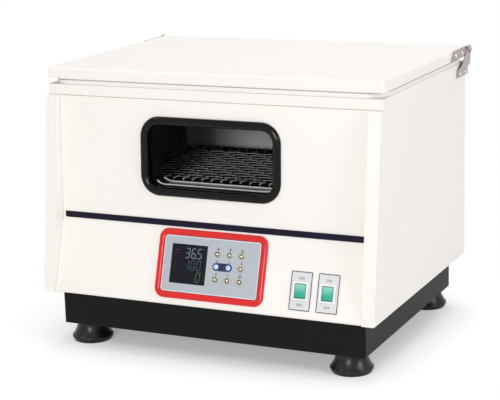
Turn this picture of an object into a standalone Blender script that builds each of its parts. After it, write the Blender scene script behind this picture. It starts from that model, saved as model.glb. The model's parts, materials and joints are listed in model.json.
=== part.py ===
"""Bench incubator shaker: lidded heated chamber over a three-crank orbital drive.

Pieces are laid out in the case's own frame: X to the right, Y back from the lower front edge of the case,
Z up from the floor. One empty then centres the whole thing over the origin.
"""

import math

import bmesh
import bpy
from mathutils import Matrix, Vector

MM = 0.001

# Clearances and sheets
GAP = 0.3 * MM
SHEET = 1.5 * MM
CUT_MARGIN = 5 * MM
ROOT_BITE = 1 * MM
BEND_RADIUS = 1.2 * MM
BEND_STEPS = 2
BEND_OUTSIDE = BEND_RADIUS + SHEET
SMOOTH_ANGLE = math.radians(35)

# Facets of a full turn
FINE_STEPS = 24
ROUND_STEPS = 18
COARSE_STEPS = 12
SMALL_STEPS = 8

# Heights of the main stack
FOOT_HEIGHT = 32.7 * MM
BASE_HEIGHT = 55.4 * MM
CASE_HEIGHT = 327.1 * MM
LID_GAP = 8.5 * MM
LID_THICKNESS = 17.3 * MM
BASE_BOTTOM = FOOT_HEIGHT
BASE_TOP = BASE_BOTTOM + BASE_HEIGHT
CASE_BOTTOM = BASE_TOP + GAP
CASE_TOP = CASE_BOTTOM + CASE_HEIGHT
LID_BOTTOM = CASE_TOP + LID_GAP
LID_TOP = LID_BOTTOM + LID_THICKNESS

# Case outside
CASE_WIDTH = 560 * MM
CASE_DEPTH = 437.4 * MM
HALF_WIDTH = CASE_WIDTH / 2
LID_OVERHANG = 1.2 * MM
LID_FRONT = 48 * MM
LID_CORNER = 5 * MM
LID_EDGE = 3 * MM
LID_WALL = 2 * MM

# Folded front: sloping console, trim step, leaning window panel, upright band
CONSOLE_RISE = 115.6 * MM
CONSOLE_SETBACK = 37.6 * MM
TRIM_HEIGHT = 9.8 * MM
PANEL_TOP_SETBACK = 47.5 * MM
BAND_HEIGHT = 16.4 * MM
CHEEK_WIDTH = 20 * MM
CHEEK_TOP_SETBACK = 39 * MM
CHEEK_RETURN = 62 * MM
FRONT_FLANGE = 45 * MM
PANEL_TOP_FLANGE = 13 * MM
TRIM_END_MARGIN = 4.9 * MM
TRIM_THICKNESS = 0.7 * MM
TRIM_BOTTOM = CASE_BOTTOM + CONSOLE_RISE
TRIM_TOP = TRIM_BOTTOM + TRIM_HEIGHT
BAND_BOTTOM = CASE_TOP - BAND_HEIGHT
PANEL_TOP = BAND_BOTTOM - GAP
CONSOLE_SLOPE = math.atan2(CONSOLE_SETBACK, CONSOLE_RISE)
PANEL_LEAN = math.atan2(PANEL_TOP_SETBACK - CONSOLE_SETBACK, PANEL_TOP - TRIM_TOP)
PANEL_HALF_WIDTH = HALF_WIDTH - CHEEK_WIDTH - GAP
TRIM_HALF_LENGTH = PANEL_HALF_WIDTH - TRIM_END_MARGIN

# Flanges that join the case panels
SIDE_FLANGE = 40 * MM
REAR_FLANGE = 37 * MM
SCREW_FLANGE = 18 * MM
TOP_FLANGE = 14 * MM

# Base tray and rubber feet
BASE_SIDE_INSET = 21.7 * MM
BASE_FRONT_INSET = 19.3 * MM
BASE_REAR_INSET = 12.4 * MM
BASE_WALL = 2 * MM
BASE_CORNER = 6 * MM
FOOT_SIDE_INSET = 33.4 * MM
FOOT_FRONT_INSET = 31.9 * MM
FOOT_REAR_INSET = 24 * MM
FOOT_FLANGE_RADIUS = 33.3 * MM
FOOT_NECK_RADIUS = 22.5 * MM
FOOT_SOLE_RADIUS = 28 * MM
FOOT_FLANGE_HEIGHT = 8 * MM
FOOT_WAIST = 29 * MM
FOOT_STEPS = 4
FOOT_STUD_RADIUS = 5 * MM
FOOT_STUD_LENGTH = 12 * MM
BASE_FLOOR = BASE_BOTTOM + BASE_WALL
BASE_HALF_WIDTH = HALF_WIDTH - BASE_SIDE_INSET
BASE_REAR = CASE_DEPTH - BASE_REAR_INSET
FOOT_SIDE = BASE_HALF_WIDTH - FOOT_SIDE_INSET
FOOT_FRONT = BASE_FRONT_INSET + FOOT_FRONT_INSET
FOOT_REAR = BASE_REAR - FOOT_REAR_INSET

# Window in the leaning panel
WINDOW_X = 2 * MM
WINDOW_DROP = 87.3 * MM
WINDOW_HALF_WIDTH = 105 * MM
WINDOW_HALF_HEIGHT = 48.5 * MM
WINDOW_CORNER = 19 * MM
GASKET_NECK = 7 * MM
GASKET_LIP = 13 * MM
GASKET_BEAD = 5.5 * MM
GASKET_BACK = 2 * MM
GLASS_THICKNESS = 4 * MM
GLASS_BITE = 4 * MM
GLASS_FRONT = -2 * MM
WINDOW_HALF_REVEAL = 48 * MM
WINDOW_HEIGHT = PANEL_TOP - WINDOW_DROP

# Chamber
CHAMBER_FRONT = 77 * MM
CHAMBER_SIDE_SPACE = 40 * MM
CHAMBER_REAR_SPACE = 27.4 * MM
CHAMBER_CORNER = 18 * MM
LINER_FLANGE = 20 * MM
COLLAR_FLANGE = 7 * MM
CHAMBER_HALF = HALF_WIDTH - CHAMBER_SIDE_SPACE
CHAMBER_DEPTH = CASE_DEPTH - CHAMBER_REAR_SPACE - CHAMBER_FRONT
CHAMBER_MIDDLE = CHAMBER_FRONT + CHAMBER_DEPTH / 2

# Lid seal
SEAL_INSET = 13 * MM
SEAL_WIDTH = 12 * MM
SEAL_SHOULDER = 3 * MM

# Drive stack, upwards from the tray's floor
DRIVE_LEG = 78 * MM
DRIVE_PLATE_THICKNESS = 4 * MM
DRIVE_SIDE_SPACE = 24.3 * MM
DRIVE_END_SPACE = 38 * MM
PULLEY_LIFT = 5 * MM
PULLEY_HEIGHT = 16 * MM
FLOOR_LIFT = 12 * MM
WEB_LIFT = 10 * MM
WEB_THICKNESS = 10 * MM
BOSS_HEIGHT = 33 * MM
PLATFORM_THICKNESS = 3 * MM
RACK_POST = 36 * MM
RAIL_HEIGHT = 16 * MM
DRIVE_HALF_WIDTH = BASE_HALF_WIDTH - BASE_WALL - DRIVE_SIDE_SPACE
DRIVE_FRONT = BASE_FRONT_INSET + BASE_WALL + DRIVE_END_SPACE
DRIVE_REAR = BASE_REAR - BASE_WALL - DRIVE_END_SPACE
DRIVE_PLATE_TOP = BASE_FLOOR + GAP + DRIVE_LEG + DRIVE_PLATE_THICKNESS
DRIVE_PLATE_UNDER = DRIVE_PLATE_TOP - DRIVE_PLATE_THICKNESS
PULLEY_BOTTOM = DRIVE_PLATE_TOP + PULLEY_LIFT
PULLEY_TOP = PULLEY_BOTTOM + PULLEY_HEIGHT
LINER_BOTTOM = PULLEY_TOP + FLOOR_LIFT
CHAMBER_FLOOR = LINER_BOTTOM + SHEET
WEB_BOTTOM = CHAMBER_FLOOR + WEB_LIFT
WEB_TOP = WEB_BOTTOM + WEB_THICKNESS
BOSS_BOTTOM = WEB_TOP + GAP
PLATFORM_UNDER = BOSS_BOTTOM + BOSS_HEIGHT
PLATFORM_TOP = PLATFORM_UNDER + PLATFORM_THICKNESS
RACK_FOOT = PLATFORM_TOP + GAP
RAIL_BOTTOM = RACK_FOOT + RACK_POST
RACK_TOP = RAIL_BOTTOM + RAIL_HEIGHT

# Cranks: the driven one in front, two that only carry the platform behind it
ORBIT_RADIUS = 10 * MM
CRANK_Y = 190 * MM
SUPPORT_X = 150 * MM
SUPPORT_Y = 290 * MM
SHAFT_RADIUS = 10 * MM
PIN_RADIUS = 8 * MM
PIN_LENGTH = 26 * MM
WEB_RADIUS = 26 * MM
BOSS_RADIUS = 16 * MM
BORE_END = 3 * MM
HOUSING_RADIUS = 24 * MM
HOUSING_FLANGE_RADIUS = 42 * MM
HOUSING_FLANGE = 8 * MM
HOUSING_LENGTH = 50 * MM
SHAFT_TAIL = 4 * MM
SHAFT_HOLE_RADIUS = 14 * MM
SUPPORT_FLANGE_RADIUS = 30 * MM
SUPPORT_FLANGE = 6 * MM
SUPPORT_TAIL = 6 * MM

# Belt drive
CRANK_PULLEY_RADIUS = 70 * MM
MOTOR_PULLEY_RADIUS = 20 * MM
PULLEY_FLANGE = 3 * MM
PULLEY_RIM = 4 * MM
PULLEY_RIM_WALL = 10 * MM
PULLEY_WEB = 4 * MM
PULLEY_HUB_WALL = 10 * MM
BELT_THICKNESS = 4 * MM
BELT_STEPS = (26, 10)
MOTOR_DISTANCE = 150 * MM
MOTOR_RADIUS = 36 * MM
MOTOR_LENGTH = 64 * MM
MOTOR_CHAMFER = 4 * MM
MOTOR_FLANGE_RADIUS = 42 * MM
MOTOR_FLANGE = 6 * MM
MOTOR_SHAFT_RADIUS = 6 * MM
MOTOR_SHAFT_HOLE = 10 * MM
MOTOR_SHAFT_BITE = 12 * MM

# Platform and spring rack
PLATFORM_CLEARANCE = 29.5 * MM
PLATFORM_CORNER = 6 * MM
RAIL_WIDTH = 12 * MM
SPRING_PITCH = 16.7 * MM
SPRING_RADIUS = 2.4 * MM
SPRING_ROW_DROP = 3.6 * MM
SPRING_LAYER_STEP = 5.4 * MM
SPRING_BITE = 4 * MM
PLATFORM_HALF_X = CHAMBER_HALF - ORBIT_RADIUS - PLATFORM_CLEARANCE
PLATFORM_HALF_Y = CHAMBER_DEPTH / 2 - ORBIT_RADIUS - PLATFORM_CLEARANCE

# Corner hinges
PIVOT_BEHIND = 5 * MM
PIVOT_DROP = 7.3 * MM
LEAF_THICKNESS = 2 * MM
KNUCKLE_RADIUS = 8 * MM
HINGE_PIN_RADIUS = 3 * MM
HINGE_HEAD_RADIUS = 4.6 * MM
HINGE_HEAD = 2 * MM
LEAF_REACH = 22 * MM
LEAF_FOOT = 11 * MM
LEAF_FOOT_FRONT = 48 * MM
LEAF_FOOT_REAR = 7.5 * MM
LEAF_JOGGLE = 7 * MM
LEAF_EYE_STEPS = 6
LID_LEAF_LENGTH = 80 * MM
LID_LEAF_TAPER = 10 * MM
LID_LEAF_MARGIN = 1.2 * MM
PIVOT_Y = CASE_DEPTH + PIVOT_BEHIND
PIVOT_Z = LID_TOP - PIVOT_DROP
LID_SIDE = HALF_WIDTH + LID_OVERHANG
LID_LEAF_IN = LID_SIDE + GAP
LID_LEAF_OUT = LID_LEAF_IN + LEAF_THICKNESS
CASE_LEAF_IN = LID_LEAF_OUT + GAP
CASE_LEAF_OUT = CASE_LEAF_IN + LEAF_THICKNESS

# Control panel on the console, measured across from the centre and up the slope from its lower edge
PANEL_CENTRE = (9.3 * MM, 64.7 * MM)
BEZEL_HALF = (81.5 * MM, 43.4 * MM)
BEZEL_BORDER = 10.4 * MM
BEZEL_HEIGHT = 5 * MM
BEZEL_CORNER = 5 * MM
BEZEL_INNER_EDGE = 1.5 * MM
BEZEL_OUTER_EDGE = 4.6 * MM
PLATE_THICKNESS = 2 * MM
DISPLAY_CENTRE = (-28.1 * MM, 65 * MM)
DISPLAY_HALF = 30 * MM
DISPLAY_PROUD = 0.3 * MM
DISPLAY_DEPTH = 3 * MM
DISPLAY_CORNER = 1 * MM
BOARD_DEPTH = 14.4 * MM
BOARD_THICKNESS = 1.6 * MM
BOARD_MARGIN = 3 * MM
BOARD_STANDOFF_RADIUS = 2.6 * MM
BOARD_HOLE_MARGIN = 10 * MM
BUTTON_COLUMNS = {"left": 19.3 * MM, "centre": 39.6 * MM, "right": 60 * MM}
BUTTON_ROWS = {"top": 84.5 * MM, "middle": 65.3 * MM, "bottom": 45.9 * MM}
BUTTON_RADIUS = 5 * MM
BUTTON_PROUD = 2.2 * MM
BUTTON_STEM = 3.9 * MM
BUTTON_STEM_RADIUS = 2.6 * MM
BUTTON_TRAVEL_ROOM = 1.1 * MM
BUTTON_DOME_ANGLES = (10, 40, 68)

# Rocker switches and their label plates
SWITCH_CENTRES = {"left": 160.6 * MM, "right": 204.1 * MM}
SWITCH_HEIGHT = 42.3 * MM
SWITCH_PLATE_HALF = (17.1 * MM, 29.4 * MM)
SWITCH_PLATE_THICKNESS = 1 * MM
SWITCH_BEZEL_HALF = (12.7 * MM, 13.75 * MM)
SWITCH_BEZEL = 2 * MM
SWITCH_PLATE_CORNER = 1 * MM
SWITCH_BEZEL_CORNER = 1.5 * MM
SWITCH_BODY_HALF = (10.6 * MM, 12.3 * MM)
SWITCH_BODY_DEPTH = 22 * MM
ROCKER_HALF_WIDTH = 8.5 * MM
ROCKER_REACH = 10.4 * MM
ROCKER_PIVOT_SINK = 2.6 * MM
ROCKER_CROWN = 3 * MM
ROCKER_DIP = 1.2 * MM
ROCKER_DEPTH = 6.6 * MM
ROCKER_TILT = math.radians(10)

# Fan, heater, probe and mains inlet
FAN_REAR_SPACE = 80 * MM
FAN_Z = 335 * MM
FAN_RADIUS = 36 * MM
FAN_BLADES = 8
FAN_BLADE_THICKNESS = 1.6 * MM
FAN_BLADE_INSET = 1 * MM
FAN_DEPTH = 14 * MM
FAN_HUB_RADIUS = 9 * MM
FAN_SHAFT_RADIUS = 3 * MM
FAN_SHAFT_BITE = 10 * MM
FAN_WALL_GAP = 4 * MM
FAN_Y = CHAMBER_FRONT + CHAMBER_DEPTH - FAN_REAR_SPACE
GUARD_RADIUS = 44 * MM
GUARD_SHEET = 1.5 * MM
GUARD_SLOTS = 8
GUARD_SLOT_RADIUS = 25 * MM
GUARD_SLOT_HALF = (12 * MM, 3 * MM)
FAN_MOTOR_RADIUS = 27 * MM
FAN_MOTOR_LENGTH = 26 * MM
HEATER_RADIUS = 4 * MM
HEATER_SIDE_SPACE = 110 * MM
HEATER_FORWARD = 22 * MM
HEATER_LIFT = 14 * MM
HEATER_BEND = 14 * MM
TERMINAL_LENGTH = 12 * MM
HEATER_HALF_WIDTH = CHAMBER_HALF - HEATER_SIDE_SPACE
PROBE_SIDE_SPACE = 14 * MM
PROBE_Z = 270 * MM
PROBE_RADIUS = 2.5 * MM
PROBE_LENGTH = 60 * MM
PROBE_HEAD_RADIUS = 7 * MM
PROBE_HEAD = 10 * MM
PROBE_X = CHAMBER_HALF - PROBE_SIDE_SPACE
INLET_X = -200 * MM
INLET_Z = 135 * MM
INLET_FLANGE_HALF = (25 * MM, 15 * MM)
INLET_BODY_HALF = (15.5 * MM, 12 * MM)
INLET_SOCKET_HALF = (12.2 * MM, 8.2 * MM)
INLET_SOCKET_DEPTH = 16 * MM
INLET_DEPTH = 22 * MM
INLET_FLANGE = 2.5 * MM
INLET_CORNER = 2 * MM
INLET_FLANGE_CORNER = 5 * MM
VENT_SLOTS = 9
VENT_PITCH = 14 * MM
VENT_HALF = (2.5 * MM, 26 * MM)
VENT_X = 150 * MM
VENT_Z = 150 * MM

OVERALL_DEPTH = CASE_DEPTH + PIVOT_BEHIND + KNUCKLE_RADIUS


# Outlines

def rounded_rectangle(half_x, half_y, radius, steps=4):
    """Counterclockwise outline about the origin, with an arc at each corner."""
    points = []
    for side_x, side_y, start in ((1, 1, 0), (-1, 1, 90), (-1, -1, 180), (1, -1, 270)):
        for step in range(steps + 1):
            angle = math.radians(start + 90 * step / steps)
            points.append((
                side_x * (half_x - radius) + radius * math.cos(angle),
                side_y * (half_y - radius) + radius * math.sin(angle),
            ))
    return points


def rectangle(low_a, low_b, high_a, high_b):
    return [(low_a, low_b), (high_a, low_b), (high_a, high_b), (low_a, high_b)]


def arc(centre, radius, start, end, steps):
    """Points on a circle from one angle to another, in degrees."""
    points = []
    for step in range(steps + 1):
        angle = math.radians(start + (end - start) * step / steps)
        points.append((centre[0] + radius * math.cos(angle), centre[1] + radius * math.sin(angle)))
    return points


def circle(radius, segments, centre=(0, 0)):
    return arc(centre, radius, 0, 360 - 360 / segments, segments - 1)


def folded_sheet(path, thickness):
    """Outline of a bent sheet: its outer face follows the path, its thickness lies to the right of it."""
    points = [Vector(point) for point in path]
    outer, inner = [], []

    def across(start, end):
        leg = (end - start).normalized()
        return Vector((leg.y, -leg.x))

    first, last = across(points[0], points[1]), across(points[-2], points[-1])
    outer.append(points[0])
    inner.append(points[0] + first * thickness)
    for before, corner, after in zip(points, points[1:], points[2:]):
        normal, leg = across(before, corner), (corner - before).normalized()
        turn = math.atan2(leg.cross(after - corner), leg.dot(after - corner))
        side = -1 if turn > 0 else 1
        near = BEND_RADIUS + thickness if side > 0 else BEND_RADIUS
        far = near - side * thickness
        centre = corner - leg * near * math.tan(abs(turn) / 2) + normal * side * near
        for step in range(BEND_STEPS + 1):
            spoke = Matrix.Rotation(turn * step / BEND_STEPS, 2) @ normal * -side
            outer.append(centre + spoke * near)
            inner.append(centre + spoke * far)
    outer.append(points[-1])
    inner.append(points[-1] + last * thickness)
    return [tuple(point) for point in outer + inner[::-1]]


# Solids

def loft(shape, loops, ring=False):
    """Skins equal loops in turn, and either caps both ends or joins the last loop to the first."""
    rows = [[shape.verts.new(point) for point in loop] for loop in loops]
    pairs = list(zip(rows, rows[1:]))
    if ring:
        pairs.append((rows[-1], rows[0]))
    else:
        shape.faces.new(rows[0])
        shape.faces.new(rows[-1])
    for low, high in pairs:
        for index in range(len(low)):
            shape.faces.new((low[index], low[index - 1], high[index - 1], high[index]))
    return shape


def prism(shape, outline, low, high, axis="Z"):
    """Extrudes an outline along one axis. The outline runs over X and Y, or X and Z, or Y and Z."""
    order = {
        "Z": lambda a, b, c: (a, b, c),
        "Y": lambda a, b, c: (a, c, b),
        "X": lambda a, b, c: (c, a, b),
    }[axis]
    return loft(shape, [[order(a, b, end) for a, b in outline] for end in (low, high)])


def box(shape, low, high):
    return prism(shape, rectangle(low[0], low[1], high[0], high[1]), low[2], high[2])


def turned(shape, profile, segments=FINE_STEPS, ring=False, centre=(0, 0)):
    """Revolves (radius, height) points about an upright axis."""
    loops = [[(x, y, height) for x, y in circle(radius, segments, centre)] for radius, height in profile]
    return loft(shape, loops, ring)


def framed(shape, half_x, half_y, corner, section):
    """Sweeps a closed section of (outward offset, height) points round a rounded rectangle."""
    loops = []
    for offset, height in section:
        outline = rounded_rectangle(half_x + offset, half_y + offset, corner + offset)
        loops.append([(x, y, height) for x, y in outline])
    return loft(shape, loops, ring=True)


# Objects

def clear_scene():
    for leftover in list(bpy.data.objects):
        bpy.data.objects.remove(leftover)


def material(name, colour, roughness, metallic=0.0, alpha=1.0):
    finish = bpy.data.materials.new(name)
    finish.use_nodes = True
    shader = finish.node_tree.nodes["Principled BSDF"]
    shader.inputs["Base Color"].default_value = (*colour, 1)
    shader.inputs["Roughness"].default_value = roughness
    shader.inputs["Metallic"].default_value = metallic
    shader.inputs["Alpha"].default_value = alpha
    finish.diffuse_color = (*colour, alpha)
    return finish


def empty(name, parent=None, location=(0, 0, 0), rotation=(0, 0, 0)):
    marker = bpy.data.objects.new(name, None)
    bpy.context.scene.collection.objects.link(marker)
    marker.parent = parent
    marker.location = location
    marker.rotation_euler = rotation
    return marker


def piece(name, shape, finish, parent, location=(0, 0, 0), rotation=(0, 0, 0)):
    """Turns a bmesh into a named object on its parent."""
    bmesh.ops.recalc_face_normals(shape, faces=shape.faces)
    mesh = bpy.data.meshes.new(name)
    shape.to_mesh(mesh)
    shape.free()
    mesh.shade_smooth()
    mesh.set_sharp_from_angle(angle=SMOOTH_ANGLE)
    made = bpy.data.objects.new(name, mesh)
    bpy.context.scene.collection.objects.link(made)
    made.parent = parent
    made.location = location
    made.rotation_euler = rotation
    if finish:
        mesh.materials.append(finish)
    return made


def shaped(target, operation, tool):
    """Cuts or adds a hidden helper by a Boolean modifier."""
    tool.hide_render = True
    tool.display_type = "WIRE"
    modifier = target.modifiers.new(operation.title(), "BOOLEAN")
    modifier.operation = operation
    modifier.solver = "EXACT"
    modifier.object = tool


def cut(target, shape, parent=None, location=(0, 0, 0), rotation=(0, 0, 0)):
    shaped(target, "DIFFERENCE", helper(target, "cutter", shape, parent, location, rotation))


def add(target, shape, parent=None, location=(0, 0, 0), rotation=(0, 0, 0)):
    shaped(target, "UNION", helper(target, "adder", shape, parent, location, rotation))


def helper(target, use, shape, parent, location, rotation):
    name = f"{target.name}.{use}.{len(target.modifiers)}"
    if parent is None:
        parent, location, rotation = target.parent, target.location, target.rotation_euler
    return piece(name, shape, None, parent, location, rotation)


# Base

def make_base(frame, finish):
    middle, half_y = (BASE_FRONT_INSET + BASE_REAR) / 2, (BASE_REAR - BASE_FRONT_INSET) / 2
    loops = []
    for inset, height in ((BASE_WALL, BASE_FLOOR), (BASE_WALL, BASE_TOP), (0, BASE_TOP), (0, BASE_BOTTOM)):
        outline = rounded_rectangle(BASE_HALF_WIDTH - inset, half_y - inset, BASE_CORNER - inset)
        loops.append([(x, y + middle, height) for x, y in outline])
    tray = piece("base_tray", loft(bmesh.new(), loops), finish["base"], frame)
    for foot_x in (-FOOT_SIDE, FOOT_SIDE):
        for foot_y in (FOOT_FRONT, FOOT_REAR):
            radius = FOOT_STUD_RADIUS + GAP
            profile = [(radius, BASE_BOTTOM - CUT_MARGIN), (radius, BASE_FLOOR + CUT_MARGIN)]
            cut(tray, turned(bmesh.new(), profile, COARSE_STEPS, centre=(foot_x, foot_y)))


def make_feet(frame, finish):
    """Bell-shaped rubber feet on threaded studs."""
    top = FOOT_HEIGHT - GAP
    edge = FOOT_FLANGE_RADIUS - FOOT_SOLE_RADIUS
    flare = FOOT_FLANGE_RADIUS - FOOT_NECK_RADIUS
    rise = FOOT_WAIST - FOOT_FLANGE_HEIGHT
    profile = []
    for across, up in arc((0, 0), 1, -90, 0, 2):
        profile.append((FOOT_SOLE_RADIUS + edge * across, FOOT_FLANGE_HEIGHT * (1 + up)))
    for step in range(1, FOOT_STEPS + 1):
        share = step / FOOT_STEPS
        fullness = (1 + math.cos(math.pi * share)) / 2
        profile.append((FOOT_NECK_RADIUS + flare * fullness, FOOT_FLANGE_HEIGHT + rise * share))
    profile += [
        (FOOT_NECK_RADIUS, top),
        (FOOT_STUD_RADIUS, top),
        (FOOT_STUD_RADIUS, BASE_FLOOR + FOOT_STUD_LENGTH),
    ]
    for side, foot_x in (("left", -FOOT_SIDE), ("right", FOOT_SIDE)):
        for end, foot_y in (("front", FOOT_FRONT), ("rear", FOOT_REAR)):
            shape = turned(bmesh.new(), profile, ROUND_STEPS)
            piece(f"foot_{end}_{side}", shape, finish["rubber"], frame, (foot_x, foot_y, 0))


# Case

def make_side_panel(frame, finish, name, side):
    """Side sheet with its front edge folded into a hollow cheek, and flanges for its neighbours."""
    skin_front = LID_FRONT + SHEET + GAP
    outline = [
        (0, CASE_BOTTOM),
        (CASE_DEPTH, CASE_BOTTOM),
        (CASE_DEPTH, CASE_TOP),
        (skin_front, CASE_TOP),
        (skin_front, PANEL_TOP),
        (CHEEK_TOP_SETBACK, PANEL_TOP),
    ]
    inner, outer = HALF_WIDTH - CHEEK_WIDTH, HALF_WIDTH
    shape = prism(bmesh.new(), outline, *span(side, inner, outer), "X")
    front_edges = [edge for edge in shape.edges if all(vert.co.y <= CHEEK_TOP_SETBACK for vert in edge.verts)]
    bent = [edge for edge in front_edges if edge.verts[0].co.x == edge.verts[1].co.x]
    bmesh.ops.bevel(shape, geom=bent, offset=BEND_OUTSIDE, segments=BEND_STEPS, profile=0.5, affect="EDGES")
    panel = piece(name, shape, finish["case"], frame)
    lean = CHEEK_TOP_SETBACK / (PANEL_TOP - CASE_BOTTOM)
    front = SHEET * math.hypot(1, lean)
    hollow = [
        (front - lean * CUT_MARGIN, CASE_BOTTOM - CUT_MARGIN),
        (CASE_DEPTH + CUT_MARGIN, CASE_BOTTOM - CUT_MARGIN),
        (CASE_DEPTH + CUT_MARGIN, PANEL_TOP - SHEET),
        (CHEEK_TOP_SETBACK + front - lean * SHEET, PANEL_TOP - SHEET),
    ]
    cut(panel, prism(bmesh.new(), hollow, *span(side, inner + SHEET, outer - SHEET), "X"))
    behind = rectangle(CHEEK_RETURN, CASE_BOTTOM - CUT_MARGIN, CASE_DEPTH + CUT_MARGIN, CASE_TOP + CUT_MARGIN)
    cut(panel, prism(bmesh.new(), behind, *span(side, inner - CUT_MARGIN, outer - SHEET), "X"))
    above = rectangle(0, PANEL_TOP, CHEEK_RETURN + CUT_MARGIN, CASE_TOP + CUT_MARGIN)
    cut(panel, prism(bmesh.new(), above, *span(side, inner - CUT_MARGIN, outer - SHEET), "X"))
    root = outer - SHEET / 2
    behind_cheek = CHEEK_RETURN + GAP
    rear_inside = CASE_DEPTH - SHEET - GAP
    under_top = CASE_TOP - SHEET - GAP
    for low_y, high_y, low_z, high_z, reach in (
        (behind_cheek, CASE_DEPTH - REAR_FLANGE - GAP, CASE_BOTTOM, CASE_BOTTOM + SHEET, SIDE_FLANGE),
        (rear_inside - SHEET, rear_inside, BASE_TOP + SIDE_FLANGE, CASE_TOP - SIDE_FLANGE, SCREW_FLANGE),
        (behind_cheek, CASE_DEPTH - SIDE_FLANGE, under_top - SHEET, under_top, TOP_FLANGE),
    ):
        low_x, high_x = span(side, outer - reach, root)
        add(panel, box(bmesh.new(), (low_x, low_y, low_z), (high_x, high_y, high_z)))


def span(side, inner, outer):
    """The two X ends of a piece on one side, lowest first."""
    return (inner, outer) if side > 0 else (-outer, -inner)


def make_rear_panel(frame, finish):
    low_y, high_y = CASE_DEPTH - SHEET, CASE_DEPTH
    half_x = HALF_WIDTH - SHEET - GAP
    path = [
        (high_y, CASE_TOP - SHEET - GAP),
        (high_y, CASE_BOTTOM),
        (high_y - REAR_FLANGE, CASE_BOTTOM),
    ]
    shape = prism(bmesh.new(), folded_sheet(path, SHEET), -half_x, half_x, "X")
    panel = piece("rear_panel", shape, finish["case"], frame)
    corner_room = SIDE_FLANGE + GAP
    for side in (-1, 1):
        low_x, high_x = span(side, HALF_WIDTH - corner_room, HALF_WIDTH + CUT_MARGIN)
        corner = box(
            bmesh.new(),
            (low_x, 0, CASE_BOTTOM - CUT_MARGIN),
            (high_x, low_y - GAP, CASE_BOTTOM + CUT_MARGIN),
        )
        cut(panel, corner)
    slots = bmesh.new()
    first = VENT_X - VENT_PITCH * (VENT_SLOTS - 1) / 2
    for index in range(VENT_SLOTS):
        outline = rounded_rectangle(VENT_HALF[0], VENT_HALF[1], VENT_HALF[0], 2)
        placed = [(x + first + index * VENT_PITCH, z + VENT_Z) for x, z in outline]
        prism(slots, placed, low_y - CUT_MARGIN, high_y + CUT_MARGIN, "Y")
    cut(panel, slots)
    half_w, half_h = INLET_BODY_HALF
    opening = rectangle(
        INLET_X - half_w - GAP, INLET_Z - half_h - GAP, INLET_X + half_w + GAP, INLET_Z + half_h + GAP
    )
    cut(panel, prism(bmesh.new(), opening, low_y - CUT_MARGIN, high_y + CUT_MARGIN, "Y"))


def make_front_panel(frame, console, window, finish):
    """One folded sheet: bottom flange, sloping console, trim step, leaning window panel, top flange."""
    path = [
        (FRONT_FLANGE, CASE_BOTTOM),
        (0, CASE_BOTTOM),
        (CONSOLE_SETBACK, TRIM_BOTTOM),
        (CONSOLE_SETBACK, TRIM_TOP),
        (PANEL_TOP_SETBACK, PANEL_TOP),
        (PANEL_TOP_SETBACK + PANEL_TOP_FLANGE, PANEL_TOP),
    ]
    outline = folded_sheet(path, SHEET)
    panel = piece(
        "front_panel",
        prism(bmesh.new(), outline, -PANEL_HALF_WIDTH, PANEL_HALF_WIDTH, "X"),
        finish["case"],
        frame,
    )
    hole = rounded_rectangle(
        WINDOW_HALF_WIDTH + GASKET_NECK + GAP,
        WINDOW_HALF_HEIGHT + GASKET_NECK + GAP,
        WINDOW_CORNER + GASKET_NECK + GAP,
    )
    cut(panel, prism(bmesh.new(), hole, -CUT_MARGIN, CUT_MARGIN), window)
    cut(panel, box(bmesh.new(), *electronics_opening()), console)
    switch_holes = bmesh.new()
    for centre in SWITCH_CENTRES.values():
        half_w, half_h = SWITCH_BODY_HALF
        box(
            switch_holes,
            (centre - half_w - GAP, SWITCH_HEIGHT - half_h - GAP, -CUT_MARGIN),
            (centre + half_w + GAP, SWITCH_HEIGHT + half_h + GAP, CUT_MARGIN),
        )
    cut(panel, switch_holes, console)


def electronics_opening():
    """Box cut through the console behind the display and the buttons."""
    room = BUTTON_RADIUS + GAP
    low_u = DISPLAY_CENTRE[0] - DISPLAY_HALF - 2 * GAP
    high_u = max(BUTTON_COLUMNS.values()) + room
    low_s = min(DISPLAY_CENTRE[1] - DISPLAY_HALF - 2 * GAP, min(BUTTON_ROWS.values()) - room)
    high_s = max(DISPLAY_CENTRE[1] + DISPLAY_HALF + 2 * GAP, max(BUTTON_ROWS.values()) + room)
    return (low_u, low_s, -CUT_MARGIN), (high_u, high_s, CUT_MARGIN)


def make_top_frame(frame, finish):
    """Ring round the chamber's mouth with the upright band below its front edge."""
    side = HALF_WIDTH - SHEET - GAP
    low_z, back = CASE_TOP - SHEET, LID_FRONT + SHEET
    band = [(back, BAND_BOTTOM), (LID_FRONT, BAND_BOTTOM), *arc((back, low_z), SHEET, 180, 90, BEND_STEPS)]
    ring = band + [(CASE_DEPTH, CASE_TOP), (CASE_DEPTH, low_z), (back, low_z)]
    top = piece("top_frame", prism(bmesh.new(), ring, -side, side, "X"), finish["case"], frame)
    add(top, prism(bmesh.new(), band, -HALF_WIDTH, HALF_WIDTH, "X"))
    mouth = rounded_rectangle(CHAMBER_HALF, CHAMBER_DEPTH / 2, CHAMBER_CORNER)
    placed = [(x, y + CHAMBER_MIDDLE) for x, y in mouth]
    cut(top, prism(bmesh.new(), placed, low_z - CUT_MARGIN, CASE_TOP + CUT_MARGIN))


def make_trim(frame, finish):
    shape = box(
        bmesh.new(),
        (-TRIM_HALF_LENGTH, CONSOLE_SETBACK - GAP - TRIM_THICKNESS, TRIM_BOTTOM),
        (TRIM_HALF_LENGTH, CONSOLE_SETBACK - GAP, TRIM_TOP),
    )
    piece("trim_stripe", shape, finish["trim"], frame)


# Window

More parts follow.
